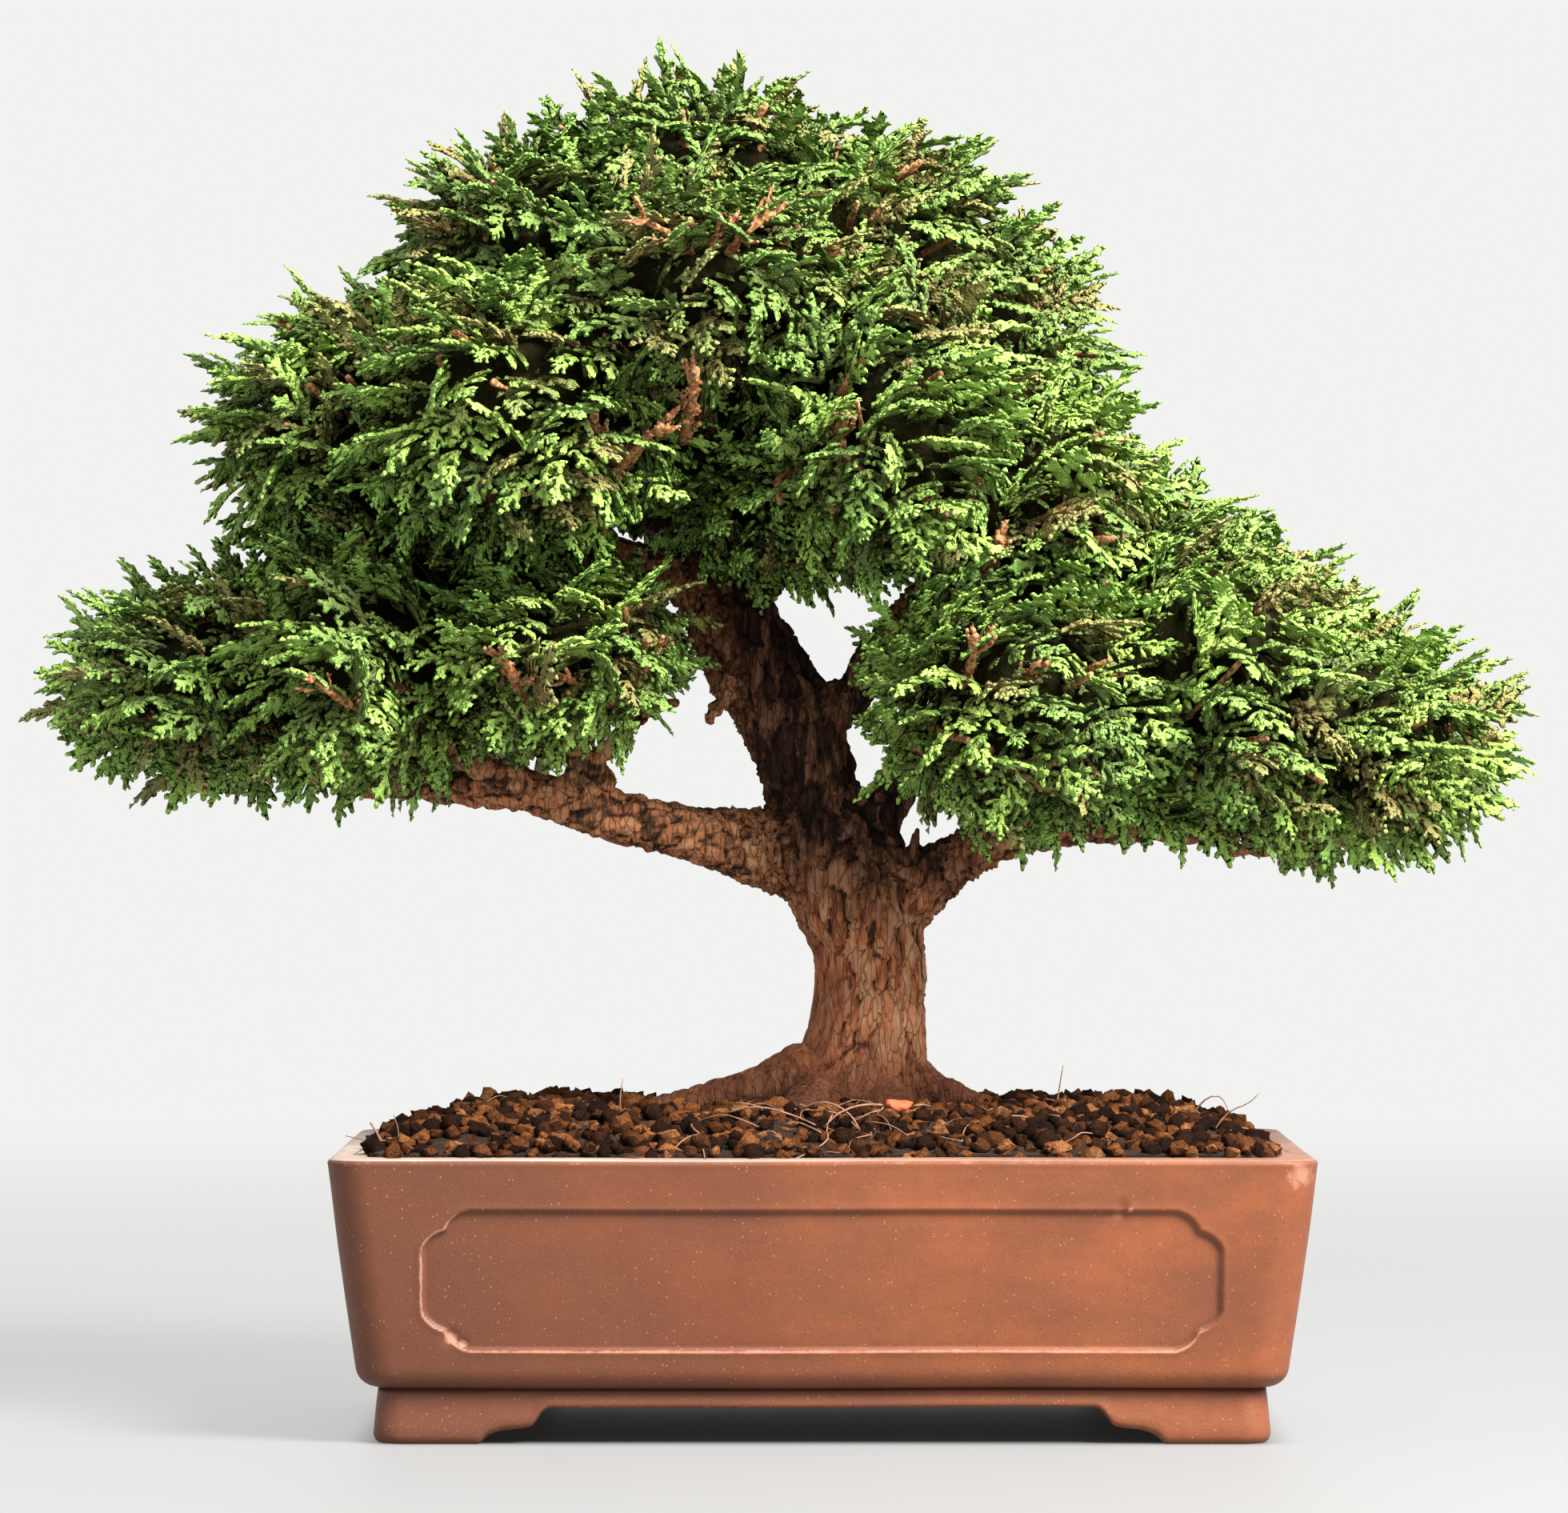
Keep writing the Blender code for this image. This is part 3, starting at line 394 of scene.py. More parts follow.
def buildLeaf():
    material, tree, shader, place = newMaterial("scaleLeaf", 0.5, 0.22)
    s = leafSettings
    chart = addNode(tree, "ShaderNodeUVMap", uv_map="OFBake").outputs[0]
    parts = addNode(tree, "ShaderNodeSeparateXYZ", {0: chart})
    tone = parts.outputs["X"]
    age = parts.outputs["Y"]
    deep = colourRamp(tree, age, s["deep"])
    fresh = colourRamp(tree, age, s["fresh"])
    olive = colourRamp(tree, age, s["olive"])
    colour = mixColours(tree, stretchRange(tree, tone, 0.26, 0.90), deep, fresh)
    colour = mixColours(tree, stretchRange(tree, tone, 0.24, 0.17), colour, olive)
    tree.links.new(colour, shader.inputs["Base Color"])
    tree.links.new(doMath(tree, "SUBTRACT", 0.60, doMath(tree, "MULTIPLY", age, 0.16)),
                   shader.inputs["Roughness"])
    scales = addNode(tree, "ShaderNodeTexVoronoi", {"Vector": place, "Scale": 1300.0})
    addBump(tree, shader, scales.outputs[0], -0.0008, 1.0)
    return material


# a near-black colour for the core inside the pads: painted shade
def buildLeafShade():
    material, tree, shader, place = newMaterial("innerGrowth", 0.9, 0.05)
    patch = useGroup(tree, mottleGroup, Place=place, Size=180.0, Sharpness=0.7)["Mask"]
    fine = useGroup(tree, mottleGroup, Place=place, Size=620.0, Sharpness=0.7)["Mask"]
    colour = mixColours(tree, patch, (0.005, 0.007, 0.002), (0.018, 0.024, 0.006))
    colour = mixColours(tree, doMath(tree, "MULTIPLY", fine, 0.6), colour, (0.034, 0.019, 0.008))
    tree.links.new(colour, shader.inputs["Base Color"])
    addBump(tree, shader, fine, 0.0012, 0.9)
    return material


# darkBelow is the painted shade on the crumbs' faces that turn down
grainSettings = {
    "stops": [(0.0, (0.012, 0.006, 0.004)), (0.25, (0.040, 0.015, 0.008)),
              (0.52, (0.175, 0.058, 0.019)), (0.78, (0.360, 0.125, 0.040)),
              (0.93, (0.560, 0.225, 0.080)), (1.0, (0.200, 0.130, 0.075))],
    "darkBelow": (0.012, 0.006, 0.004),
}


def buildGrain():
    material, tree, shader, place = newMaterial("akadamaGrain", 0.9, 0.05)
    chart = addNode(tree, "ShaderNodeUVMap", uv_map="OFBake").outputs[0]
    parts = addNode(tree, "ShaderNodeSeparateXYZ", {0: chart})
    colour = colourRamp(tree, parts.outputs["X"], grainSettings["stops"])
    # painted shade: faces of each crumb that turn down or sideways, darkened towards near-black
    under = stretchRange(tree, parts.outputs["Y"], 0.86, 0.30)
    colour = mixColours(tree, doMath(tree, "MULTIPLY", under, 0.95), colour, grainSettings["darkBelow"])
    pores = useGroup(tree, mottleGroup, Place=place, Size=1300.0, Sharpness=0.7)["Mask"]
    colour = mixColours(tree, doMath(tree, "MULTIPLY", pores, 0.60), colour, (0.014, 0.007, 0.004))
    tree.links.new(colour, shader.inputs["Base Color"])
    tree.links.new(doMath(tree, "SUBTRACT", 0.98, doMath(tree, "MULTIPLY", pores, 0.2)),
                   shader.inputs["Roughness"])
    height = useGroup(tree, grittyGroup, Place=place, Size=1900.0, Coarse=1.0)["Height"]
    addBump(tree, shader, height, 0.0018, 1.0)
    return material


def buildStone(name, low, high, dust, size, depth, roughness):
    material, tree, shader, place = newMaterial(name, roughness, 0.25)
    patch = useGroup(tree, mottleGroup, Place=place, Size=size, Sharpness=0.6)["Mask"]
    specks = useGroup(tree, speckleGroup, Place=place, Size=size * 5, Amount=0.25)
    colour = mixColours(tree, patch, low, high)
    colour = mixColours(tree, doMath(tree, "MULTIPLY", specks["Pale"], 0.6), colour, dust)
    tree.links.new(colour, shader.inputs["Base Color"])
    tree.links.new(doMath(tree, "SUBTRACT", roughness, doMath(tree, "MULTIPLY", patch, 0.12)),
                   shader.inputs["Roughness"])
    height = useGroup(tree, grittyGroup, Place=place, Size=size * 6, Coarse=0.8)["Height"]
    addBump(tree, shader, height, depth, 0.8)
    return material


clay = buildClay()
bark = buildBark()
twigSkin = buildTwigSkin()
cutWood = buildCutWood()
scaleLeaf = buildLeaf()
innerGrowth = buildLeafShade()
akadamaGrain = buildGrain()
# the bed under the crumbs, near-black: painted shade in the gaps between grains
shadedSoilBed = buildStone("shadedSoilBed", (0.010, 0.006, 0.004), (0.035, 0.017, 0.010),
                       (0.08, 0.04, 0.02), 300.0, 0.0008, 0.95)
gritStone = buildStone("gritStone", (0.30, 0.24, 0.18), (0.52, 0.45, 0.36),
                       (0.70, 0.66, 0.58), 260.0, 0.0009, 0.95)
screenPlastic = buildStone("screenPlastic", (0.012, 0.012, 0.012), (0.025, 0.025, 0.025),
                           (0.06, 0.06, 0.06), 400.0, 0.00008, 0.55)
rootSkin = buildStone("rootSkin", (0.16, 0.075, 0.045), (0.34, 0.18, 0.11),
                      (0.50, 0.34, 0.24), 600.0, 0.0002, 0.8)
redFlake = buildStone("redFlake", (0.48, 0.075, 0.028), (0.60, 0.125, 0.050),
                      (0.62, 0.25, 0.14), 700.0, 0.0002, 0.7)


def buildWire():
    material, tree, shader, place = newMaterial("drawnWire", 0.4, 0.5)
    shader.inputs["Metallic"].default_value = 1.0
    patch = useGroup(tree, mottleGroup, Place=place, Size=500.0, Sharpness=0.6)["Mask"]
    colour = mixColours(tree, patch, (0.48, 0.47, 0.46), (0.68, 0.68, 0.69))
    tree.links.new(colour, shader.inputs["Base Color"])
    tree.links.new(doMath(tree, "ADD", 0.32, doMath(tree, "MULTIPLY", patch, 0.2)),
                   shader.inputs["Roughness"])
    addBump(tree, shader, patch, 0.00005, 0.5)
    return material


drawnWire = buildWire()
print("materials ready")


def addPiece(name, mesh, *materials):
    mesh.name = name
    mesh.materials.clear()
    for material in materials:
        mesh.materials.append(material)
    piece = bpy.data.objects.new(name, mesh)
    bpy.context.scene.collection.objects.link(piece)
    return piece


def finishedMesh(obj):
    bpy.context.view_layer.update()
    graph = bpy.context.evaluated_depsgraph_get()
    return bpy.data.meshes.new_from_object(obj.evaluated_get(graph))


def dropObject(obj):
    bpy.data.objects.remove(obj, do_unlink=True)


def mergedCopy(nodeName):
    bm = bmesh.new()
    bm.from_mesh(frame["nodes"][nodeName].data)
    bmesh.ops.remove_doubles(bm, verts=bm.verts, dist=1e-6)
    return bm


def pointsOf(mesh):
    found = np.empty(len(mesh.vertices) * 3)
    mesh.vertices.foreach_get("co", found)
    return found.reshape(-1, 3)


def normalsOf(mesh):
    found = np.empty(len(mesh.vertices) * 3)
    mesh.vertices.foreach_get("normal", found)
    return found.reshape(-1, 3)


def storeValues(mesh, name, values):
    attribute = mesh.attributes.new(name, "FLOAT", "POINT")
    attribute.data.foreach_set("value", np.asarray(values, dtype=np.float32))


def smoothStep(value, low, high):
    share = np.clip((value - low) / (high - low), 0.0, 1.0)
    return share * share * (3 - 2 * share)


# many tapered tubes as one curve, each a list of (point, radius), closed at both ends
def tubesMesh(name, paths, sides=2, steps=3, straight=False):
    curve = bpy.data.curves.new(name, "CURVE")
    curve.dimensions = "3D"
    curve.bevel_depth = 1.0
    curve.bevel_resolution = sides
    curve.resolution_u = steps
    curve.use_fill_caps = True
    for path in paths:
        if straight:
            spline = curve.splines.new("POLY")
            spline.points.add(len(path) - 1)
            for knot, (point, radius) in zip(spline.points, path):
                knot.co = (*point, 1.0)
                knot.radius = radius
        else:
            spline = curve.splines.new("BEZIER")
            spline.bezier_points.add(len(path) - 1)
            for knot, (point, radius) in zip(spline.bezier_points, path):
                knot.co = point
                knot.handle_left_type = knot.handle_right_type = "AUTO"
                knot.radius = radius
    holder = bpy.data.objects.new(name, curve)
    bpy.context.scene.collection.objects.link(holder)
    mesh = finishedMesh(holder)
    dropObject(holder)
    bm = bmesh.new()
    bm.from_mesh(mesh)
    bmesh.ops.remove_doubles(bm, verts=bm.verts, dist=2e-6)
    bmesh.ops.recalc_face_normals(bm, faces=bm.faces)
    bm.to_mesh(mesh)
    bm.free()
    mesh.shade_smooth()
    return mesh


# the pot
potSettings = {
    "length": 0.200, "width": 0.140, "height": 0.058, "footHeight": 0.011, "lean": 0.0060,
    "wall": 0.0080, "corner": 0.0080, "bodyEdge": 0.0040, "rimEdge": 0.0015, "rimInner": 0.0009,
    "floorLow": 0.0098, "floorTop": 0.0160, "skirtInset": 0.0040, "skirtThick": 0.0090,
    "flare": 0.0009, "footLong": 0.0215, "footShort": 0.0185, "bracketRise": 0.0074,
    "bracketRun": 0.0140, "bracketStep": 0.0032, "drainRadius": 0.0100, "drainSpacing": 0.0900,
    "panelMargin": 0.0164, "panelHeight": 0.0282, "panelTop": 0.0105, "panelDepth": 0.0009,
    "lobeRun": 0.0046, "lobeRise": 0.0039, "lobeFlat": 0.40, "bevel": 0.0010, "bulge": 0.0005, "wobble": 0.00035,
}
# along the wall, height, radius, depth, wear, which side (0 front, 1 right, 2 back, 3 left)
potChips = [
    (-0.0748, 0.0218, 0.0016, 0.0005, 1.0, 0), (-0.0722, 0.0206, 0.0010, 0.0004, 1.0, 0),
    (0.0602, 0.0482, 0.0013, 0.0006, 0.5, 0), (0.0617, 0.0478, 0.0008, -0.0003, 0.9, 0),
    (0.0195, 0.0170, 0.0005, 0.0003, 0.0, 0), (0.0960, 0.0548, 0.0035, 0.0002, 0.8, 0),
    (-0.0300, 0.0440, 0.0009, 0.0004, 0.6, 2),
    (0.0410, 0.0190, 0.0012, 0.0004, 0.8, 2), (0.0300, 0.0205, 0.0011, 0.0004, 0.8, 1),
    (-0.0260, 0.0465, 0.0010, 0.0004, 0.7, 3),
]


# a rectangle with two lobes at each corner, their arcs flattened towards a straight cut
def panelOutline(length, height, run, rise, flat):
    corner = []
    for centreX, centreY in ((length / 2 - run, height / 2 - 2 * rise),
                             (length / 2 - 2 * run, height / 2 - rise)):
        for step in range(7):
            angle = step / 6 * math.pi / 2
            corner.append((centreX + run * math.cos(angle), centreY + rise * math.sin(angle)))
    last = len(corner) - 1
    chord = [np.array(corner[0]) * (1 - i / last) + np.array(corner[-1]) * i / last
             for i in range(last + 1)]
    corner = [tuple(np.array(c) * (1 - flat) + line * flat) for c, line in zip(corner, chord)]
    upper = corner + [(-x, y) for x, y in reversed(corner)]
    return np.array(upper + [(-x, -y) for x, y in upper])


# distance from each point to a closed outline, positive inside it
def insideDistance(along, up, outline):
    nearest = np.full(along.shape, 1.0)
    inside = np.zeros(along.shape, bool)
    for first, second in zip(outline, np.roll(outline, -1, 0)):
        run = second - first
        share = ((along - first[0]) * run[0] + (up - first[1]) * run[1]) / max(run @ run, 1e-12)
        share = np.clip(share, 0, 1)
        gapX = along - first[0] - share * run[0]
        gapY = up - first[1] - share * run[1]
        nearest = np.minimum(nearest, np.hypot(gapX, gapY))
        if abs(run[1]) > 1e-12:
            crosses = (first[1] > up) != (second[1] > up)
            meet = first[0] + (up - first[1]) / run[1] * run[0]
            inside ^= crosses & (along < meet)
    return np.where(inside, nearest, -nearest)


def bracketHeight(gap, s):
    places = [0.0, 0.12, 0.34, 0.62, 0.74, 0.80, 0.88, 0.96, 1.0]
    heights = [0.0, 0.55, 0.88, 1.0, 1.10, 1.32, 1.90, 2.22, s["bracketRise"] / s["bracketStep"]]
    return np.interp(gap / s["bracketRun"], places, heights) * s["bracketStep"]


def sideStations(zones):
    stations = [-1.0]
    for start, end, count in zones:
        stations += list(np.linspace(start, end, count + 1)[1:])
    return np.array(stations)


def buildPot():
    s = potSettings
    longZones = [(-1, -0.93, 4), (-0.93, -0.60, 62), (-0.60, 0.60, 62), (0.60, 0.93, 62),
                 (0.93, 1, 4)]
    shortZones = [(-1, -0.90, 5), (-0.90, -0.46, 50), (-0.46, 0.46, 32), (0.46, 0.90, 50),
                  (0.90, 1, 5)]
    columns = []  # side, share along its straight, corner turn
    for side in range(4):
        stations = sideStations(longZones if side % 2 == 0 else shortZones)
        columns += [(side, share, 0.0) for share in stations]
        columns += [(side, 1.0, turn / 12) for turn in range(1, 12)]
    side = np.array([c[0] for c in columns])
    share = np.array([c[1] for c in columns])
    turn = np.array([c[2] for c in columns]) * math.pi / 2

    lean = s["lean"]
    rise = s["height"] - s["footHeight"]

    def wallInset(z):
        return lean * (s["height"] - z) / rise

    rows = []  # height, inset from the rim's outline, corner radius, kind, share of foot height

    def addRow(z, inset, corner, kind, foot=0.0):
        rows.append((z, inset, corner, kind, foot))

    skirtTop = wallInset(s["footHeight"]) + s["skirtInset"]
    skirtLow = skirtTop - s["flare"]
    inner = skirtTop + s["skirtThick"]
    for step in range(5):
        addRow(s["floorLow"], inner, 0.004, "skirt", step / 4 * 0.94)
    for inset, corner, foot in ((inner - 0.0006, 0.0043, 1.0), ((inner + skirtLow) / 2, 0.005, 1.0),
                                (skirtLow + 0.0012, 0.0056, 1.0), (skirtLow + 0.0004, 0.0056, 0.95),
                                (skirtLow, 0.0056, 0.84)):
        addRow(s["footHeight"], inset, corner, "skirt", foot)
    for step in range(6):
        part = (step + 1) / 6
        addRow(s["footHeight"], skirtLow + (skirtTop - skirtLow) * part, 0.0056, "skirt",
               0.84 * (1 - part) ** 1.2)
    addRow(s["footHeight"] + 0.0001, skirtTop + 0.0006, 0.0054, "joint")
    addRow(s["footHeight"] + 0.0003, skirtTop + 0.0002, 0.0056, "joint")
    for step in range(1, 8):
        angle = step / 7 * math.pi / 2
        z = s["footHeight"] + s["bodyEdge"] * (1 - math.cos(angle)) + 0.0003
        inset = wallInset(z) + s["bodyEdge"] * (1 - math.sin(angle))
        addRow(z, inset, 0.0056 + 0.0024 * step / 7, "wall")
    bottom = rows[-1][0]
    top = s["height"] - s["rimEdge"]
    panelLow = s["height"] - s["panelTop"] - s["panelHeight"]
    panelHigh = s["height"] - s["panelTop"]
    heights = list(np.linspace(bottom, panelLow - 0.0012, 4)[1:])
    heights += list(np.linspace(panelLow - 0.0012, panelLow + 0.0085, 25)[1:])
    heights += list(np.linspace(panelLow + 0.0085, panelHigh - 0.0085, 9)[1:])
    heights += list(np.linspace(panelHigh - 0.0085, panelHigh + 0.0012, 25)[1:])
    heights += list(np.linspace(panelHigh + 0.0012, top, 9)[1:])
    for z in heights:
        addRow(z, wallInset(z), s["corner"], "wall")
    for step in range(1, 6):
        angle = step / 5 * math.pi / 2
        addRow(top + s["rimEdge"] * math.sin(angle), s["rimEdge"] * (1 - math.cos(angle)),
               s["corner"], "rim")
    for step in range(1, 7):
        part = step / 6
        inset = s["rimEdge"] + (s["wall"] - s["rimInner"] - s["rimEdge"]) * part
        addRow(s["height"] - 0.00012 * math.sin(part * math.pi), inset, s["corner"] - 0.0030 * part,
               "rim")
    for step in range(1, 4):
        angle = step / 3 * math.pi / 2
        addRow(s["height"] - s["rimInner"] * (1 - math.cos(angle)),
               s["wall"] - s["rimInner"] * (1 - math.sin(angle)), 0.0049, "rim")
    for z in (0.054, 0.048, 0.040, 0.031, 0.024, 0.019):
        addRow(z, wallInset(z) + s["wall"], 0.0048, "inside")
    for step in range(1, 4):
        angle = step / 3 * math.pi / 2
        addRow(s["floorTop"] + 0.003 * (1 - math.sin(angle)),
               wallInset(s["floorTop"]) + s["wall"] + 0.003 * (1 - math.cos(angle)), 0.0048, "inside")

    halfLong = s["length"] / 2
    halfShort = s["width"] / 2
    outlines = []
    for long in (True, False):
        middle = (panelLow + panelHigh) / 2
        half = (halfLong if long else halfShort) - wallInset(middle)
        outlines.append(panelOutline(2 * (half - s["panelMargin"]), s["panelHeight"],
                                     s["lobeRun"], s["lobeRise"], s["lobeFlat"]))

    isLong = side % 2 == 0
    sideTurn = side * math.pi / 2
    points, wearAndHighlightRows, creaseShadeRows, rimSheenRows = [], [], [], []
    for z, inset, corner, kind, foot in rows:
        hx = np.where(isLong, halfLong, halfShort) - inset
        hy = np.where(isLong, halfShort, halfLong) - inset
        along = share * (hx - corner) + corner * np.sin(turn)
        out = hy - corner + corner * np.cos(turn)
        # the side's own frame: along runs to the right as seen from outside
        normalAlong = np.sin(turn)
        normalOut = np.cos(turn)
        height = np.full(along.shape, z)
        wearAndHighlight = np.zeros(along.shape)
        creaseShade = np.zeros(along.shape)
        push = np.zeros(along.shape)
        if kind == "skirt":
            footLength = np.where(isLong, s["footLong"], s["footShort"])
            lowHalf = np.where(isLong, halfLong, halfShort) - skirtLow
            gap = np.maximum(lowHalf - footLength - np.abs(along), 0.0)
            low = bracketHeight(gap, s) * (np.abs(turn) < 1e-6)
            base = s["floorLow"] if foot < 1 and inset >= inner - 1e-6 else s["footHeight"]
            height = base + (low - base) * foot
            edge = np.exp(-((height - low) / 0.0007) ** 2) * (inset < skirtTop + 0.001)
            wearAndHighlight = edge * 0.42
            # painted shade in the crease where the skirt meets the body
            creaseShade = 0.9 * np.exp(-((height - s["footHeight"]) / 0.0005) ** 2)
        # the joint's rows: painted shade in the crease
        if kind == "joint":
            creaseShade[:] = 0.95
        if kind in ("wall", "rim"):
            bulge = np.sin(np.clip((z - bottom) / (top - bottom), 0, 1) * math.pi)
            push += s["bulge"] * bulge * (1 - share ** 4 * 0.6)
        if kind == "wall":
            for which, outline in enumerate(outlines):
                mine = isLong if which == 0 else ~isLong
                distance = insideDistance(along, np.full(along.shape, z - (panelLow + panelHigh) / 2),
                                          outline)
                sunk = smoothStep(distance, -s["bevel"] * 0.35, s["bevel"] * 0.65)
                lip = np.exp(-((distance + s["bevel"] * 0.55) / 0.0005) ** 2)
                flat = np.abs(turn) < 1e-6
                push -= np.where(mine & flat, sunk * s["panelDepth"] - lip * 0.00012, 0)
                # painted highlight: the pale line is weighted to the panel's lower and left edges, which face
                # the light; chips, rim and foot edges carry real wear
                lowSide = smoothStep(np.full(along.shape, (panelLow + panelHigh) / 2 - z), 0.008, 0.013)
                leftSide = smoothStep(-along, outline[0][0] - 0.012, outline[0][0] - 0.003)
                litSideWeight = 0.30 + 0.62 * np.maximum(lowSide, leftSide)
                ridge = np.exp(-((distance + 0.00025) / 0.00032) ** 2)
                wearAndHighlight = np.maximum(wearAndHighlight, np.where(mine & flat, ridge * litSideWeight, 0))
                # painted shadow just inside the panel's bevel, stronger at the right end, which faces away from
                # the light
                nook = np.exp(-((distance - s["bevel"] * 0.75) / 0.0005) ** 2)
                rightSide = smoothStep(along, outline[0][0] - 0.012, outline[0][0] - 0.003)
                creaseShade = np.maximum(creaseShade, np.where(mine & flat, nook * (0.16 + 0.4 * rightSide), 0))
            # painted shade along the wall's foot, next to the joint
            creaseShade = np.maximum(creaseShade, 0.7 * np.exp(-((z - s["footHeight"]) / 0.0009) ** 2))
        if kind == "rim":
            wearAndHighlight = np.maximum(wearAndHighlight, 0.36 if inset < s["rimEdge"] * 0.9 or z < s["height"] - 1e-6
                              else 0.30)
        for chipAlong, chipZ, radius, depth, chipWear, chipSide in potChips:
            if kind in ("wall", "rim", "skirt") and abs(z - chipZ) < radius * 3:
                near = np.exp(-((along - chipAlong) ** 2 + (z - chipZ) ** 2) / radius ** 2)
                near = near * (side == chipSide)
                push -= near * depth
                wearAndHighlight = np.maximum(wearAndHighlight, near * chipWear)
        along = along + normalAlong * push
        out = out + normalOut * push
        cosine, sine = np.cos(sideTurn), np.sin(sideTurn)
        x = cosine * along + sine * out
        y = sine * along - cosine * out
        points.append(np.stack([x, y, height], 1))
        wearAndHighlightRows.append(wearAndHighlight)
        creaseShadeRows.append(creaseShade)
        # marks the rim's top, where the painted reflection goes
        topping = 1.0 if kind == "rim" and z > s["height"] - 0.0006 else 0.0
        rimSheenRows.append(np.full(along.shape, topping))

    count = len(columns)
    places = np.concatenate(points)
    shift = np.array([list(noise.noise_vector(Vector(p) * 22.0)) for p in places])
    fine = np.array([noise.noise(Vector(p) * 90.0) for p in places])
    standing = smoothStep(places[:, 2], 0.0005, 0.004)[:, None]
    wobble = shift * s["wobble"] * np.array([1.0, 1.0, 0.55]) * standing
    outward = places * np.array([1.0, 1.0, 0.0])
    outward /= np.maximum(np.linalg.norm(outward, axis=1), 1e-6)[:, None]
    places = places + wobble + outward * (fine * 0.00006)[:, None] * standing
    places += np.array(potCentre)

    faces = []
    for row in range(len(rows) - 1):
        base = row * count
        for column in range(count):
            after = (column + 1) % count
            faces.append((base + column, base + after, base + count + after, base + count + column))
    mesh = bpy.data.meshes.new("potShell")
    mesh.from_pydata(places.tolist(), [], faces)
    bm = bmesh.new()
    bm.from_mesh(mesh)
    verts = bm.verts[:]
    # the floor: a sheet under it and one over it, with the two drain holes through both
    rings = {}
    for level, start in (("low", 0), ("top", (len(rows) - 1) * count)):
        loop = [verts[start + column] for column in range(count)]
        edges = [bm.edges.get((loop[i], loop[(i + 1) % count])) for i in range(count)]
        z = s["floorLow"] if level == "low" else s["floorTop"]
        for way in (-1, 1):
            ring = []
            for step in range(40):
                angle = step / 40 * 2 * math.pi
                radius = s["drainRadius"] + 0.0004
                ring.append(bm.verts.new((potCentre.x + way * s["drainSpacing"] / 2
                                          + radius * math.cos(angle),
                                          potCentre.y + radius * math.sin(angle), z)))
            rings[level, way] = ring
            edges += [bm.edges.new((ring[i], ring[(i + 1) % 40])) for i in range(40)]
        bmesh.ops.triangle_fill(bm, use_beauty=True, use_dissolve=False, edges=edges)
    for way in (-1, 1):
        waist = []
        for level, lift in (("low", 0.0004), ("top", -0.0004)):
            ring = []
            for vert in rings[level, way]:
                middle = Vector((potCentre.x + way * s["drainSpacing"] / 2, potCentre.y, vert.co.z))
                point = middle + (vert.co - middle).normalized() * s["drainRadius"]
                ring.append(bm.verts.new(point + Vector((0, 0, lift))))
            waist.append(ring)
        stack = [rings["low", way], waist[0], waist[1], rings["top", way]]
        for lower, upper in zip(stack, stack[1:]):
            for i in range(40):
                j = (i + 1) % 40
                bm.faces.new((lower[i], lower[j], upper[j], upper[i]))
    extra = len(bm.verts) - len(places)
    bmesh.ops.recalc_face_normals(bm, faces=bm.faces)
    bm.to_mesh(mesh)
    bm.free()
    storeValues(mesh, "wearAndHighlight", np.concatenate(wearAndHighlightRows + [np.zeros(extra)]))
    storeValues(mesh, "creaseShade", np.concatenate(creaseShadeRows + [np.zeros(extra)]))
    storeValues(mesh, "rimSheen", np.concatenate(rimSheenRows + [np.zeros(extra)]))
    mesh.shade_smooth()
    piece = addPiece("clayPot", mesh, clay)
    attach(piece, "root")
    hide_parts("pot")
    return piece


potPiece = buildPot()
print("pot done", len(potPiece.data.polygons))


# the trunk
trunkSettings = {"voxel": 0.00079, "softening": 7, "stripDepth": 0.0023, "plateDepth": 0.0021,
                 "gnarl": 0.0009, "waist": (0.0186, -0.0026)}
# fine growth fused to the trunk: points in mm, radius in mm
trunkSpurs = [
    [((-10, -14, 155), 2.6), ((-12, -16, 151), 1.9), ((-14.5, -17, 148), 1.3), ((-15.3, -17, 145.5), 0.9)],
    [((18, -5, 128), 2.4), ((22, -9, 131.5), 1.7), ((24, -11, 136), 1.2), ((24.5, -12, 139), 0.8)],
    [((21, -6, 111), 2.4), ((26, -7, 117), 1.9), ((28, -7, 121), 1.2), ((29, -8, 124.5), 0.7)],
    [((88, -6, 123), 1.8), ((94, -9, 120), 1.5), ((101, -10, 119.5), 1.4), ((107, -9, 122), 1.2),
     ((113, -6, 127), 1.0)],
    [((-44, -13, 134), 1.9), ((-38, -14, 139), 1.8), ((-30, -16, 146), 1.7), ((-24, -17, 150), 1.4)],
    [((-35, -12, 133), 2.2), ((-40, -15, 138), 1.7), ((-47, -17, 141), 1.4)],
    [((3, -6, 122.0), 6.2), ((-5, -6, 122.6), 5.4), ((-14, -6, 124.6), 4.0), ((-24, -7, 127), 2.8)],
    [((10, -13, 68), 3.5), ((6, -24, 66.5), 2.6), ((0, -36, 65.5), 1.8), ((-7, -46, 64), 1.2)],
    [((6, -8, 73.5), 7.0), ((-3, -12, 70.2), 5.4), ((-13, -15, 68.0), 4.0), ((-23, -17, 66.2), 2.7),
     ((-31, -18, 64.8), 1.6)],
    [((26, -8, 71.5), 4.6), ((34, -12, 69), 3.4), ((42, -14, 66.8), 2.2)],
]


# a fixed shade from 0 to 1 for each cell of a pattern
def cellShade(point):
    return (math.sin(point.x * 12.9898 + point.y * 78.233 + point.z * 37.719) * 43758.5453) % 1.0


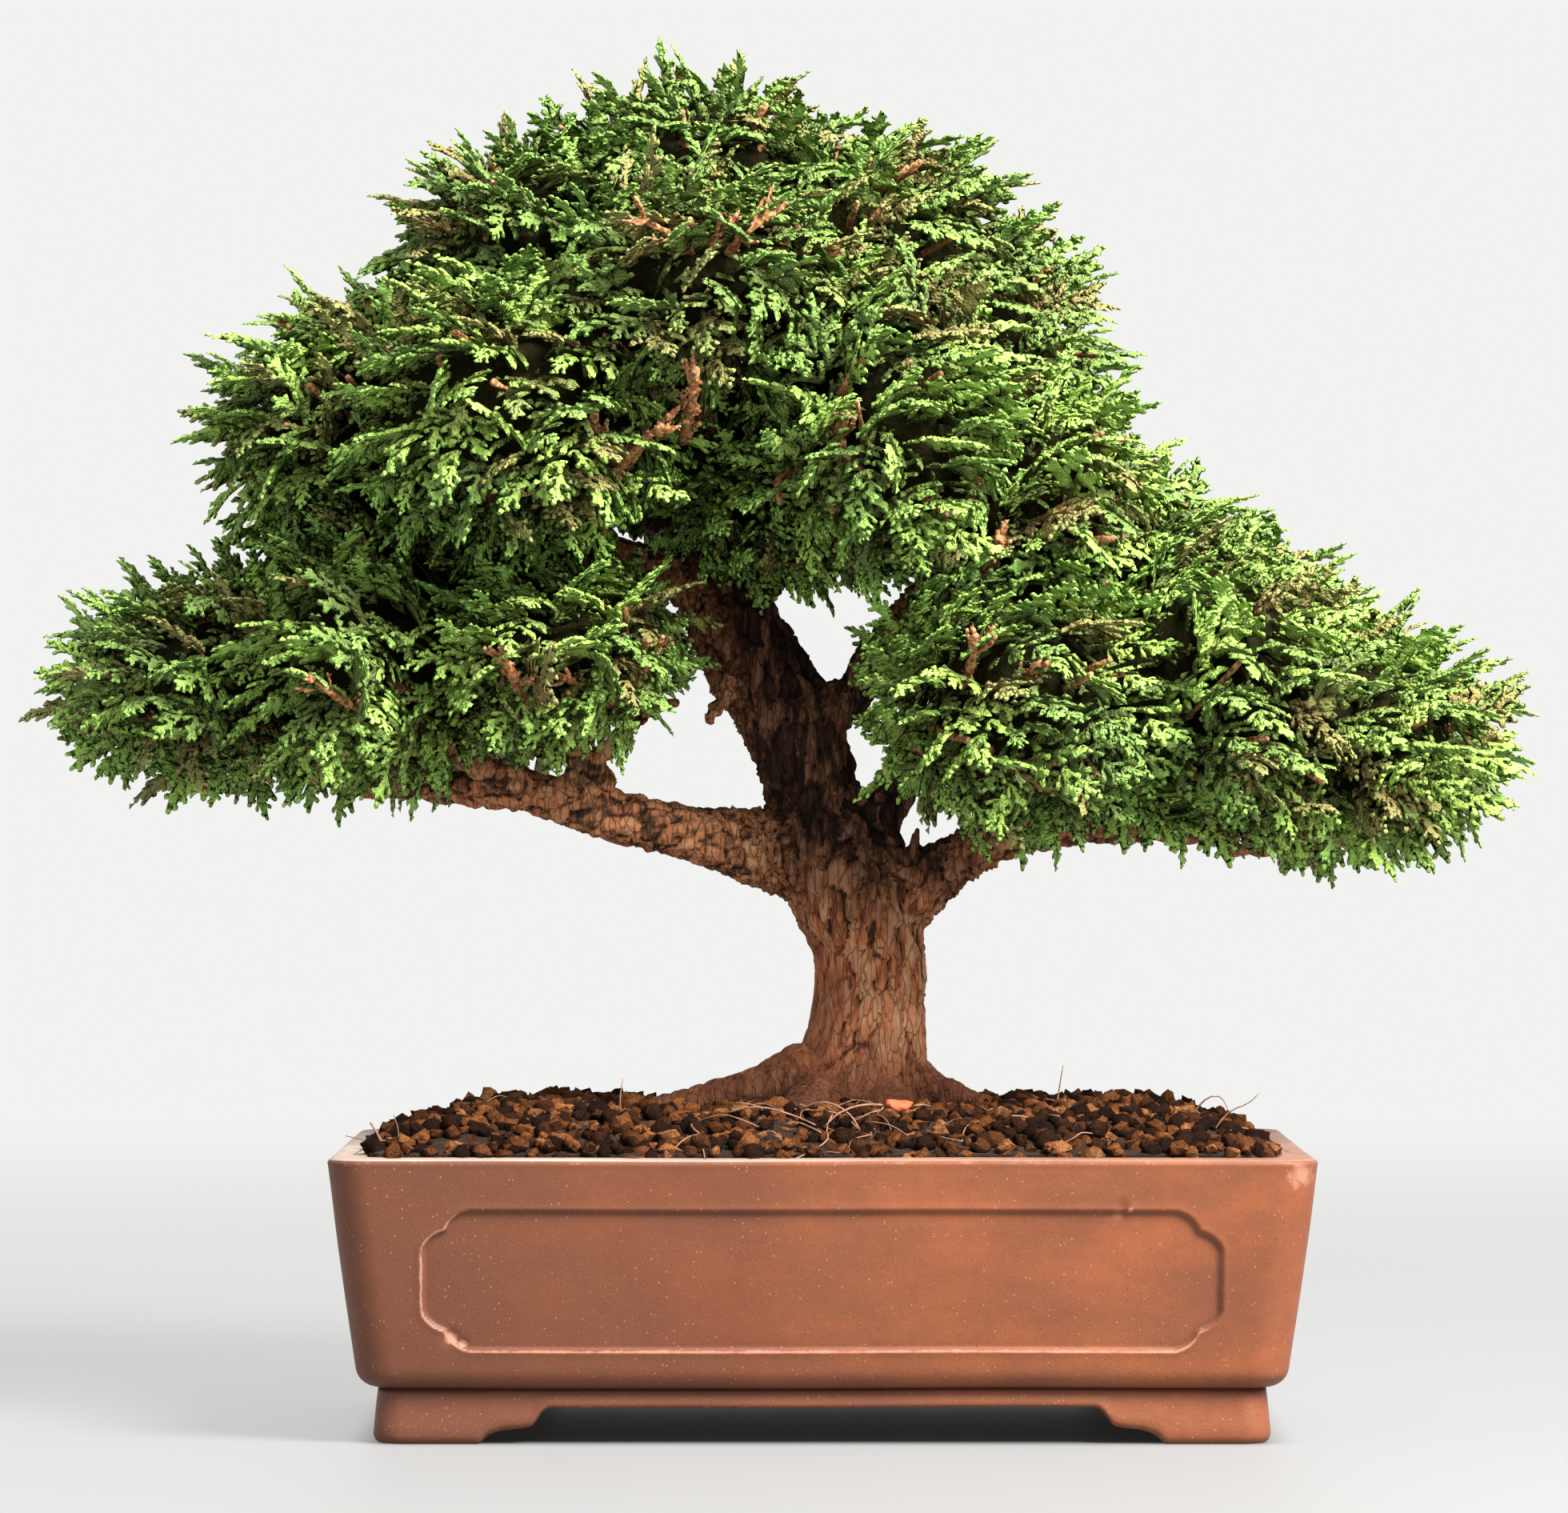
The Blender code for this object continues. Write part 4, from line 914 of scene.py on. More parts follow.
def buildTrunk():
    s = trunkSettings
    bm = mergedCopy("trunk")
    solid = bpy.data.meshes.new("trunkSolid")
    bm.to_mesh(solid)
    bm.free()
    spurs = tubesMesh("spurs", [[(Vector(p) * mm, r * mm) for p, r in path] for path in trunkSpurs],
                      3, 4)
    bm = bmesh.new()
    bm.from_mesh(solid)
    bm.from_mesh(spurs)
    bm.to_mesh(solid)
    bm.free()
    holder = addPiece("trunkHolder", solid)
    fuse = holder.modifiers.new("fuse", "REMESH")
    fuse.mode = "VOXEL"
    fuse.voxel_size = s["voxel"]
    soften = holder.modifiers.new("soften", "SMOOTH")
    soften.factor = 0.5
    soften.iterations = s["softening"]
    mesh = finishedMesh(holder)
    dropObject(holder)
    points = pointsOf(mesh)
    normals = normalsOf(mesh)
    waistX, waistY = s["waist"]
    relief = np.empty(len(points))
    push = np.empty(len(points))
    limb = np.empty(len(points))
    plate = np.empty(len(points))
    worn = np.empty(len(points))
    for index, (x, y, z) in enumerate(points):
        away = math.hypot(x - waistX + max(0.0, z - 0.12) * 0.30, y - waistY)
        isLimb = min(1.0, max(0.0, (away - 0.017) / 0.010)) if z > 0.092 else 0.0
        bend = noise.noise_vector(Vector((x, y, z)) * 140.0) * 0.0016
        tall = Vector((x, y, z * 0.30)) + bend
        flat = Vector((x * 0.62, y, z)) + bend
        spot = tall.lerp(flat, isLimb)
        wide, wideAt = noise.voronoi(spot * 310.0)
        small, smallAt = noise.voronoi(spot * 760.0)
        wideCell = cellShade(wideAt[0])
        smallCell = cellShade(smallAt[0])
        crack = min(1.0, (wide[1] - wide[0]) * 2.6)
        chink = min(1.0, (small[1] - small[0]) * 2.2)
        strand = noise.noise(tall * 800.0)
        value = 0.34 * wideCell + 0.30 * crack + 0.20 * smallCell * crack + 0.12 * chink + 0.10 * strand
        gnarl = noise.noise(Vector((x, y, z * 0.6)) * 75.0)
        relief[index] = value
        limb[index] = isLimb
        plate[index] = wideCell * 0.6 + smallCell * 0.4
        side = x + 0.006 * noise.noise(Vector((x, y, z)) * 120.0)
        worn[index] = max(smoothStep(-side, -0.0165, -0.0105), smoothStep(-z, -0.080, -0.074))
        worn[index] *= smoothStep(-z, -0.108, -0.094)
        depth = s["stripDepth"] * (1 - isLimb) + s["plateDepth"] * isLimb
        depth *= 1 - 0.6 * worn[index]
        push[index] = (value - 0.45) * depth + gnarl * s["gnarl"] * (1 - 0.5 * isLimb)
    points = points + normals * push[:, None]
    mesh.vertices.foreach_set("co", points.ravel())
    storeValues(mesh, "relief", relief)
    storeValues(mesh, "limb", limb)
    storeValues(mesh, "plate", plate)
    storeValues(mesh, "worn", worn)
    mesh.shade_smooth()
    piece = addPiece("barkedTrunk", mesh, bark)
    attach(piece, "root")
    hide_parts("trunk")
    return piece


trunkPiece = buildTrunk()
print("trunk done", len(trunkPiece.data.polygons))


# trees that scatter and repeat
def newTree(name, inputs):
    tree = bpy.data.node_groups.new(name, "GeometryNodeTree")
    names = {}
    for label, kind, value in inputs:
        socket = tree.interface.new_socket(name=label, in_out="INPUT", socket_type=kind)
        if value is not None:
            socket.default_value = value
        names[label] = socket.identifier
    tree.interface.new_socket(name="Geometry", in_out="OUTPUT", socket_type="NodeSocketGeometry")
    return tree, tree.nodes.new("NodeGroupInput"), tree.nodes.new("NodeGroupOutput"), names


def randomFloat(tree, low, high, seed):
    made = addNode(tree, "FunctionNodeRandomValue", {2: low, 3: high, 8: seed}, data_type="FLOAT")
    return made.outputs[1]


def randomVector(tree, reach, seed):
    made = addNode(tree, "FunctionNodeRandomValue", {0: (-reach,) * 3, 1: (reach,) * 3, 8: seed},
                   data_type="FLOAT_VECTOR")
    return made.outputs[0]


def storeField(tree, shape, name, value, domain, kind="FLOAT"):
    return addNode(tree, "GeometryNodeStoreNamedAttribute",
                   {"Geometry": shape, "Name": name, 3: value},
                   data_type=kind, domain=domain).outputs[0]


def readField(tree, name, kind="FLOAT"):
    return addNode(tree, "GeometryNodeInputNamedAttribute", {"Name": name},
                   data_type=kind).outputs[0]


def runTree(tree, names, holder, values):
    modifier = holder.modifiers.new("grow", "NODES")
    modifier.node_group = tree
    for label, value in values.items():
        modifier[names[label]] = value
    mesh = finishedMesh(holder)
    holder.modifiers.remove(modifier)
    return mesh


# one spray: sprigs set alternately down a curved midrib, widest low down, one at its tip
def buildSprayTree():
    tree, given, result, names = newTree("sprayMaker", [
        ("Sprigs", "NodeSocketCollection", None), ("Count", "NodeSocketInt", 9),
        ("Length", "NodeSocketFloat", 0.014), ("Sprig Size", "NodeSocketFloat", 0.0068),
        ("Angle", "NodeSocketFloat", 0.85), ("Arch", "NodeSocketFloat", 0.16),
        ("Rooted", "NodeSocketFloat", 0.72), ("Seed", "NodeSocketInt", 1)])
    g = given.outputs
    steps = doMath(tree, "SUBTRACT", g["Count"], 1.0)
    gap = doMath(tree, "DIVIDE", g["Length"], steps)
    startX = doMath(tree, "MULTIPLY", doMath(tree, "MULTIPLY", g["Length"], g["Rooted"]), -1.0)
    start = addNode(tree, "ShaderNodeCombineXYZ", {0: startX}).outputs[0]
    offset = addNode(tree, "ShaderNodeCombineXYZ", {0: gap}).outputs[0]
    line = addNode(tree, "GeometryNodeMeshLine", {"Count": g["Count"], "Start Location": start,
                                                  "Offset": offset}, mode="OFFSET")
    index = addNode(tree, "GeometryNodeInputIndex").outputs[0]
    share = doMath(tree, "DIVIDE", index, steps)
    dip = doMath(tree, "MULTIPLY", doMath(tree, "POWER", share, 2.0),
                 doMath(tree, "MULTIPLY", g["Arch"], g["Length"]))
    sway = doMath(tree, "MULTIPLY", doMath(tree, "SINE", doMath(tree, "MULTIPLY", share, 4.0)), 0.0006)
    move = addNode(tree, "ShaderNodeCombineXYZ", {1: sway, 2: doMath(tree, "MULTIPLY", dip, -1.0)})
    bent = addNode(tree, "GeometryNodeSetPosition", {"Geometry": line.outputs[0],
                                                     "Offset": move.outputs[0]})
    hand = doMath(tree, "SUBTRACT", doMath(tree, "MULTIPLY", doMath(tree, "MODULO", index, 2.0), 2.0), 1.0)
    closing = doMath(tree, "SUBTRACT", 1.0, doMath(tree, "MULTIPLY", share, 0.30))
    last = doMath(tree, "LESS_THAN", share, 0.99)
    swing = doMath(tree, "MULTIPLY", doMath(tree, "MULTIPLY", hand, g["Angle"]), closing)
    swing = doMath(tree, "MULTIPLY", swing, last)
    swing = doMath(tree, "ADD", swing, randomFloat(tree, -0.16, 0.16, g["Seed"]))
    roll = doMath(tree, "MULTIPLY", doMath(tree, "MULTIPLY", hand, last),
                  randomFloat(tree, -0.35, 0.15, doMath(tree, "ADD", g["Seed"], 3.0)))
    pitch = doMath(tree, "MULTIPLY", doMath(tree, "MULTIPLY", share, g["Arch"]), 1.6)
    turned = addNode(tree, "ShaderNodeCombineXYZ", {0: roll, 1: pitch, 2: swing}).outputs[0]
    rotation = addNode(tree, "FunctionNodeEulerToRotation", {0: turned}).outputs[0]
    rising = doMath(tree, "MINIMUM", doMath(tree, "ADD", doMath(tree, "MULTIPLY", share, 2.4), 0.55), 1.0)
    falling = doMath(tree, "SUBTRACT", 1.08, doMath(tree, "MULTIPLY", share, 0.40))
    size = doMath(tree, "MULTIPLY", doMath(tree, "MULTIPLY", rising, falling), g["Sprig Size"])
    size = doMath(tree, "MULTIPLY", size, randomFloat(tree, 0.86, 1.12, doMath(tree, "ADD", g["Seed"], 5.0)))
    kinds = addNode(tree, "GeometryNodeCollectionInfo", {
        "Collection": g["Sprigs"], "Separate Children": True, "Reset Children": True})
    pick = addNode(tree, "FunctionNodeRandomValue", {4: 0, 5: 2, 8: g["Seed"]}, data_type="INT")
    placed = addNode(tree, "GeometryNodeInstanceOnPoints", {
        "Points": bent.outputs[0], "Instance": kinds.outputs[0], "Pick Instance": True,
        "Instance Index": pick.outputs[2], "Rotation": rotation,
        "Scale": addNode(tree, "ShaderNodeCombineXYZ", {0: size, 1: size, 2: size}).outputs[0]})
    marked = storeField(tree, placed.outputs[0], "share", share, "INSTANCE")
    tree.links.new(marked, result.inputs[0])
    return tree


# sprays over a pad's skin: each points away from the branch, its face up and out
def buildCoverTree(sprayTree):
    tree, given, result, names = newTree("padCover", [
        ("Geometry", "NodeSocketGeometry", None), ("Sprigs", "NodeSocketCollection", None),
        ("Spacing", "NodeSocketFloat", 0.0068), ("Branch", "NodeSocketVector", (0.0, 0.0, 0.0)),
        ("Spray Length", "NodeSocketFloat", 0.014), ("Sprig Size", "NodeSocketFloat", 0.0068),
        ("Count", "NodeSocketInt", 9), ("Rooted", "NodeSocketFloat", 0.72),
        ("Outward", "NodeSocketFloat", 0.55), ("Loose", "NodeSocketFloat", 0.45),
        ("Tone Low", "NodeSocketFloat", 0.0), ("Tone High", "NodeSocketFloat", 1.0),
        ("Tip Reach", "NodeSocketFloat", 1.0), ("Seed", "NodeSocketInt", 1),
        ("Material", "NodeSocketMaterial", None)])
    g = given.outputs
    spread = addNode(tree, "GeometryNodeDistributePointsOnFaces", {
        "Mesh": g["Geometry"], "Distance Min": g["Spacing"], "Density Max": 200000.0,
        "Seed": g["Seed"]}, distribute_method="POISSON")
    normal = spread.outputs["Normal"]
    position = addNode(tree, "GeometryNodeInputPosition").outputs[0]
    away = doVector(tree, "NORMALIZE", doVector(tree, "SUBTRACT", position, g["Branch"]))
    loose = addNode(tree, "ShaderNodeVectorMath", {0: randomVector(tree, 1.0, g["Seed"]),
                                                   "Scale": g["Loose"]}, operation="SCALE").outputs[0]
    out = addNode(tree, "ShaderNodeVectorMath", {0: normal, "Scale": g["Outward"]},
                  operation="SCALE").outputs[0]
    heading = doVector(tree, "ADD", doVector(tree, "ADD", away, out), loose)
    secondSeed = doMath(tree, "ADD", g["Seed"], 11.0)
    face = doVector(tree, "ADD", doVector(tree, "SCALE", normal, scale=0.75), (0.0, 0.0, 0.75))
    face = doVector(tree, "ADD", face, doVector(tree, "SCALE", randomVector(tree, 1.0, secondSeed), scale=0.42))
    rotation = addNode(tree, "FunctionNodeAxesToRotation", {"Primary Axis": heading, "Secondary Axis": face},
                       primary_axis="X", secondary_axis="Z").outputs[0]
    size = randomFloat(tree, 0.78, 1.18, doMath(tree, "ADD", g["Seed"], 17.0))
    join = addNode(tree, "GeometryNodeJoinGeometry")
    for variety in range(4):
        spray = tree.nodes.new("GeometryNodeGroup")
        spray.node_tree = sprayTree
        for label in ("Sprigs", "Sprig Size", "Count", "Rooted"):
            tree.links.new(g[label], spray.inputs[label])
        tree.links.new(doMath(tree, "MULTIPLY", g["Spray Length"], 0.88 + 0.09 * variety),
                       spray.inputs["Length"])
        spray.inputs["Arch"].default_value = 0.04 + 0.10 * variety
        spray.inputs["Angle"].default_value = 0.92 - 0.07 * variety
        spray.inputs["Seed"].default_value = 31 + 7 * variety
        single = addNode(tree, "GeometryNodeGeometryToInstance", {0: spray.outputs[0]})
        tree.links.new(single.outputs[0], join.inputs[0])
    pick = addNode(tree, "FunctionNodeRandomValue", {4: 0, 5: 3, 8: doMath(tree, "ADD", g["Seed"], 23.0)},
                   data_type="INT")
    placed = addNode(tree, "GeometryNodeInstanceOnPoints", {
        "Points": spread.outputs["Points"], "Instance": join.outputs[0], "Pick Instance": True,
        "Instance Index": pick.outputs[2], "Rotation": rotation,
        "Scale": addNode(tree, "ShaderNodeCombineXYZ", {0: size, 1: size, 2: size}).outputs[0]})
    tone = randomFloat(tree, g["Tone Low"], g["Tone High"], doMath(tree, "ADD", g["Seed"], 29.0))
    toned = storeField(tree, placed.outputs[0], "tone", tone, "INSTANCE")
    real = addNode(tree, "GeometryNodeRealizeInstances", {0: toned}).outputs[0]
    across = doMath(tree, "MULTIPLY_ADD", readField(tree, "across"), 0.035, readField(tree, "tone"))
    across = doMath(tree, "MULTIPLY_ADD", across, 0.88, 0.06)
    aged = doMath(tree, "MULTIPLY_ADD", readField(tree, "share"), 0.34,
                  doMath(tree, "MULTIPLY", readField(tree, "along"), 0.62))
    aged = doMath(tree, "MULTIPLY_ADD", doMath(tree, "MULTIPLY", aged, g["Tip Reach"]), 0.94, 0.03)
    chart = addNode(tree, "ShaderNodeCombineXYZ", {0: across, 1: aged}).outputs[0]
    mapped = storeField(tree, real, "OFBake", chart, "CORNER", "FLOAT2")
    worn = addNode(tree, "GeometryNodeSetMaterial", {"Geometry": mapped, "Material": g["Material"]})
    tree.links.new(worn.outputs[0], result.inputs[0])
    return tree, names


# a sprig: blunt fingers set alternately on a midrib, domed above and flat below, 1 long
# each finger: where it starts, how long, its slant
sprigShapes = [
    [(0.00, 0.46, 0.78), (0.20, 0.46, 0.70), (0.42, 0.38, 0.74), (0.60, 0.27, 0.66)],
    [(0.04, 0.52, 0.68), (0.18, 0.42, 0.82), (0.44, 0.30, 0.64), (0.58, 0.32, 0.74)],
    [(-0.02, 0.40, 0.90), (0.24, 0.48, 0.66), (0.38, 0.40, 0.80), (0.64, 0.24, 0.62)],
]
sprigSettings = {"rib": 0.060, "finger": 0.072, "droop": 0.10}


def buildSprig(name, fingers, plump, fingerCount):
    rib = sprigSettings["rib"]
    half = sprigSettings["finger"]
    sides = {-1: [], 1: []}
    crests = [(0.14, 0.0), (0.38, 0.0), (0.62, 0.0), (0.90, 0.0)]
    for number, (start, length, slant) in enumerate(fingers[-fingerCount:]):
        way = 1 if number % 2 else -1
        ahead = Vector((math.cos(slant), way * math.sin(slant)))
        back = Vector((-math.sin(slant), way * math.cos(slant)))
        root = Vector((start, 0.0))
        for reach, side in ((length * 0.52, 0.72), (length - 0.10, 1.15), (length - 0.01, 0.80),
                            (length + 0.01, -0.65), (length - 0.11, -1.10), (0.26, -0.72)):
            point = root + ahead * reach + back * side * half
            sides[way].append((point.x, way * max(way * point.y, rib)))
        crests += [tuple(root + ahead * length * 0.50), tuple(root + ahead * (length - 0.09))]
    outline = [(0.0, -0.05)] + sides[-1] + [(0.84, -rib * 1.35), (0.98, -rib * 1.05), (1.02, 0.0),
                                            (0.98, rib * 1.05), (0.84, rib * 1.35)]
    outline += sides[1][::-1] + [(0.0, 0.05)]
    count = len(outline)
    plan = [Vector(p) for p in outline + crests]
    ring = list(range(count))
    top = geometry.delaunay_2d_cdt(plan, [], [ring], 1, 1e-6)
    verts, crested = [], []
    for point in top[0]:
        nearest = min((point - Vector(c)).length for c in crests)
        raised = 1.0 if nearest < 1e-5 else 0.0
        crested.append(raised)
        verts.append((point.x, point.y, plump * raised - sprigSettings["droop"] * point.x ** 2
                      - 0.25 * point.y ** 2))
    faces = [tuple(face) for face in top[2]]
    mesh = bpy.data.meshes.new(name)
    mesh.from_pydata(verts, [], faces)
    bm = bmesh.new()
    bm.from_mesh(mesh)
    rim = [edge for edge in bm.edges if edge.is_boundary]
    bmesh.ops.triangle_fill(bm, use_beauty=True, use_dissolve=False, edges=rim)
    bmesh.ops.recalc_face_normals(bm, faces=bm.faces)
    bm.to_mesh(mesh)
    bm.free()
    places = np.array(verts)
    crested = np.array(crested)
    along = np.minimum(1.0, places[:, 0] * 0.55 + np.abs(places[:, 1]) * 1.15 + 0.10) - crested * 0.14
    storeValues(mesh, "along", np.maximum(along, 0.0))
    storeValues(mesh, "across", places[:, 1] + 0.3 * places[:, 0] + crested * 0.25)
    mesh.shade_smooth()
    return bpy.data.objects.new(name, mesh)


def sprigCollection(name, plump, fingerCount):
    kinds = bpy.data.collections.new(name)
    for number, fingers in enumerate(sprigShapes):
        kinds.objects.link(buildSprig(name + str(number), fingers, plump, fingerCount))
    return kinds


def emptyCollection(collection):
    for obj in list(collection.objects):
        dropObject(obj)
    bpy.data.collections.remove(collection)


# the foliage
foliageSettings = {
    "skinVoxel": 0.003, "spacing": 0.0082, "sprayLength": 0.0145, "sprigSize": 0.0100, "sprigs": 6,
    "rooted": 0.88, "coreDepth": 0.0105, "fillSpacing": 0.0086, "fillDepth": 0.0075,
}


def fusedPads(voxel, depth):
    bm = bmesh.new()
    for name in padNodes:
        bm.from_mesh(frame["nodes"][name].data)
    bmesh.ops.remove_doubles(bm, verts=bm.verts, dist=1e-6)
    mesh = bpy.data.meshes.new("pads")
    bm.to_mesh(mesh)
    bm.free()
    holder = addPiece("padHolder", mesh)
    fuse = holder.modifiers.new("fuse", "REMESH")
    fuse.mode = "VOXEL"
    fuse.voxel_size = voxel
    soften = holder.modifiers.new("soften", "SMOOTH")
    soften.iterations = 4
    if depth:
        shrink = holder.modifiers.new("shrink", "DISPLACE")
        shrink.mid_level = 0.0
        shrink.strength = -depth
        again = holder.modifiers.new("again", "REMESH")
        again.mode = "VOXEL"
        again.voxel_size = voxel
        settle = holder.modifiers.new("settle", "SMOOTH")
        settle.iterations = 2
    made = finishedMesh(holder)
    dropObject(holder)
    return made


# gives each face of a fused skin to the pad that it is nearest to
def facesByPad(mesh):
    verts, faces, owners = [], [], []
    for number, name in enumerate(padNodes):
        data = frame["nodes"][name].data
        start = len(verts)
        verts += [vert.co.copy() for vert in data.vertices]
        faces += [[start + v for v in face.vertices] for face in data.polygons]
        owners += [number] * len(data.polygons)
    tree = bvhtree.BVHTree.FromPolygons(verts, faces)
    found = [[] for _ in padNodes]
    for face in mesh.polygons:
        nearest = tree.find_nearest(face.center)[2]
        found[owners[nearest]].append(face.index)
    return found


def patchHolder(name, mesh, faceNumbers):
    bm = bmesh.new()
    bm.from_mesh(mesh)
    kept = set(faceNumbers)
    spare = [face for face in bm.faces if face.index not in kept]
    bmesh.ops.delete(bm, geom=spare, context="FACES")
    patch = bpy.data.meshes.new(name)
    bm.to_mesh(patch)
    bm.free()
    return addPiece(name, patch)


def trunkAxis(height):
    heights = [0.062, 0.100, 0.120, 0.146, 0.170, 0.200, 0.255]
    across = [0.0165, 0.0185, 0.0110, 0.0020, -0.0120, -0.0157, -0.0180]
    return Vector((np.interp(height, heights, across), -0.001, height))


def branchPoint(name):
    low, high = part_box(name)
    centre = (low + high) / 2
    half = (high - low) / 2
    toward = trunkAxis(centre.z) - centre
    toward.z = 0.0
    if toward.length > 0.6 * half.x:
        toward = toward.normalized() * 0.6 * half.x
    return centre + toward - Vector((0.0, 0.0, half.z * 0.45))


def buildFoliage():
    s = foliageSettings
    skin = fusedPads(s["skinVoxel"], 0.0)
    under = fusedPads(s["skinVoxel"], s["fillDepth"])
    skinFaces = facesByPad(skin)
    underFaces = facesByPad(under)
    sprigs = sprigCollection("sprig", 0.095, 4)
    leafy = sprigCollection("fillSprig", 0.09, 2)
    sprayTree = buildSprayTree()
    coverTree, names = buildCoverTree(sprayTree)
    total = 0
    for number, node in enumerate(padNodes):
        branch = branchPoint(node)
        patch = patchHolder("patch", skin, skinFaces[number])
        # the lower pads reach the fresh tones and the apex pads keep to duller ones: painted light on the lower
        # pads, which the upper pads shade
        cover = runTree(coverTree, names, patch, {
            "Sprigs": sprigs, "Spacing": s["spacing"], "Branch": list(branch),
            "Spray Length": s["sprayLength"], "Sprig Size": s["sprigSize"], "Count": s["sprigs"],
            "Rooted": s["rooted"], "Outward": 0.45, "Loose": 0.55, "Tone Low": 0.04,
            "Tone High": 0.48 if branch.z > 0.205 else 1.0, "Tip Reach": 1.0, "Seed": 100 + number, "Material": scaleLeaf})
        dropObject(patch)
        patch = patchHolder("patch", under, underFaces[number])
        # the inner layer keeps to middle tones and half the tip colour: older inner growth, and painted shade
        # inside the pad
        fill = runTree(coverTree, names, patch, {
            "Sprigs": leafy, "Spacing": s["fillSpacing"], "Branch": list(branch),
            "Spray Length": s["sprayLength"], "Sprig Size": 0.0098, "Count": 4,
            "Rooted": 0.7, "Outward": 0.45, "Loose": 0.8, "Tone Low": 0.22,
            "Tone High": 0.66, "Tip Reach": 0.5, "Seed": 300 + number, "Material": scaleLeaf})
        dropObject(patch)
        bm = bmesh.new()
        bm.from_mesh(cover)
        bm.from_mesh(fill)
        joined = bpy.data.meshes.new("sprays")
        bm.to_mesh(joined)
        bm.free()
        joined.shade_smooth()
        for spare in [a.name for a in joined.attributes if a.name in ("along", "across", "tone", "share")]:
            joined.attributes.remove(joined.attributes[spare])
        piece = addPiece("sprays_" + node[8:], joined, scaleLeaf)
        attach(piece, "root")
        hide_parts(node)
        total += len(joined.polygons)
    emptyCollection(sprigs)
    emptyCollection(leafy)
    # painted shade: a dark lumpy core inside the pads, standing where there is only shade among the sprays
    core = fusedPads(s["skinVoxel"], s["coreDepth"])
    points = pointsOf(core)
    lumps = np.array([noise.noise(Vector(p) * 260.0) for p in points])
    points = points + normalsOf(core) * (lumps * 0.0022)[:, None]
    core.vertices.foreach_set("co", points.ravel())
    core.shade_smooth()
    piece = addPiece("innerGrowth", core, innerGrowth)
    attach(piece, "root")
    print("foliage done", total)
    return skin, skinFaces


skinMesh, skinOwners = buildFoliage()

# the bare twigs and stubs that show among the sprays: points in mm, radius in mm
twigSettings.update({"perPad": 11, "forks": 3, "nubs": 16, "thick": 0.0010, "thin": 0.00055,
                     "bare": 0.62, "seed": 5})
bareTwigs = [
    [((-60, -38, 184), 1.6), ((-61, -52, 194), 1.3), ((-65, -68, 207), 1.2), ((-69, -78, 219), 1.0)],
    [((-30, -20, 176), 2.6), ((-45, -34, 185), 2.2), ((-56, -50, 188), 1.8), ((-61, -62, 195), 1.4)],
    [((-37, -44, 184), 2.2), ((-34, -62, 193), 2.0), ((-34, -76, 201), 1.8), ((-38, -82, 206), 1.4)],
    [((-34, -70, 196), 1.6), ((-29, -80, 201), 1.4), ((-24, -86, 205), 1.2)],
    [((-20, -60, 203), 1.6), ((-18, -82, 209), 1.7), ((-17, -92, 216), 1.5)],
    [((13, -48, 190), 2.0), ((12.5, -76, 198), 2.0), ((11, -84, 208), 1.9)],
    [((-15, -62, 232), 1.8), ((-16, -82, 238), 1.5), ((-22, -90, 243), 1.2), ((-28, -92, 246), 0.9)],
    [((-15, -62, 232), 1.6), ((-11, -84, 239), 1.3), ((-7, -92, 243), 1.1), ((-2, -93, 247), 0.8)],
    [((-15, -62, 232), 1.5), ((-14, -86, 240), 1.3), ((-12, -93, 246), 1.0)],
    [((34, -40, 186), 1.7), ((38, -60, 191), 1.6), ((40, -68, 196), 1.4)],
    [((40, -44, 172), 1.9), ((43, -62, 178), 1.8), ((44, -70, 183), 1.5)],
    [((52, -20, 182), 1.5), ((59, -38, 188), 1.3), ((69, -46, 197), 0.9)],
    [((44, -50, 148), 1.8), ((49, -74, 153), 1.8), ((51, -84, 157), 1.8)],
    [((34, -50, 150), 1.5), ((38, -76, 156), 1.4), ((39, -84, 163), 1.3)],
    [((-22, -20, 150), 1.4), ((-30, -40, 150), 1.5), ((-38, -60, 152), 1.3), ((-46, -70, 156), 1.0)],
    [((-36, -46, 149), 1.4), ((-28, -60, 156), 1.1), ((-24, -66, 163), 0.9)],
    [((-80, -60, 146), 1.5), ((-88, -74, 150), 1.3), ((-95, -80, 155), 1.0)],
    [((-52, -60, 150), 1.6), ((-54, -76, 155), 1.5), ((-56, -82, 161), 1.3)],
]


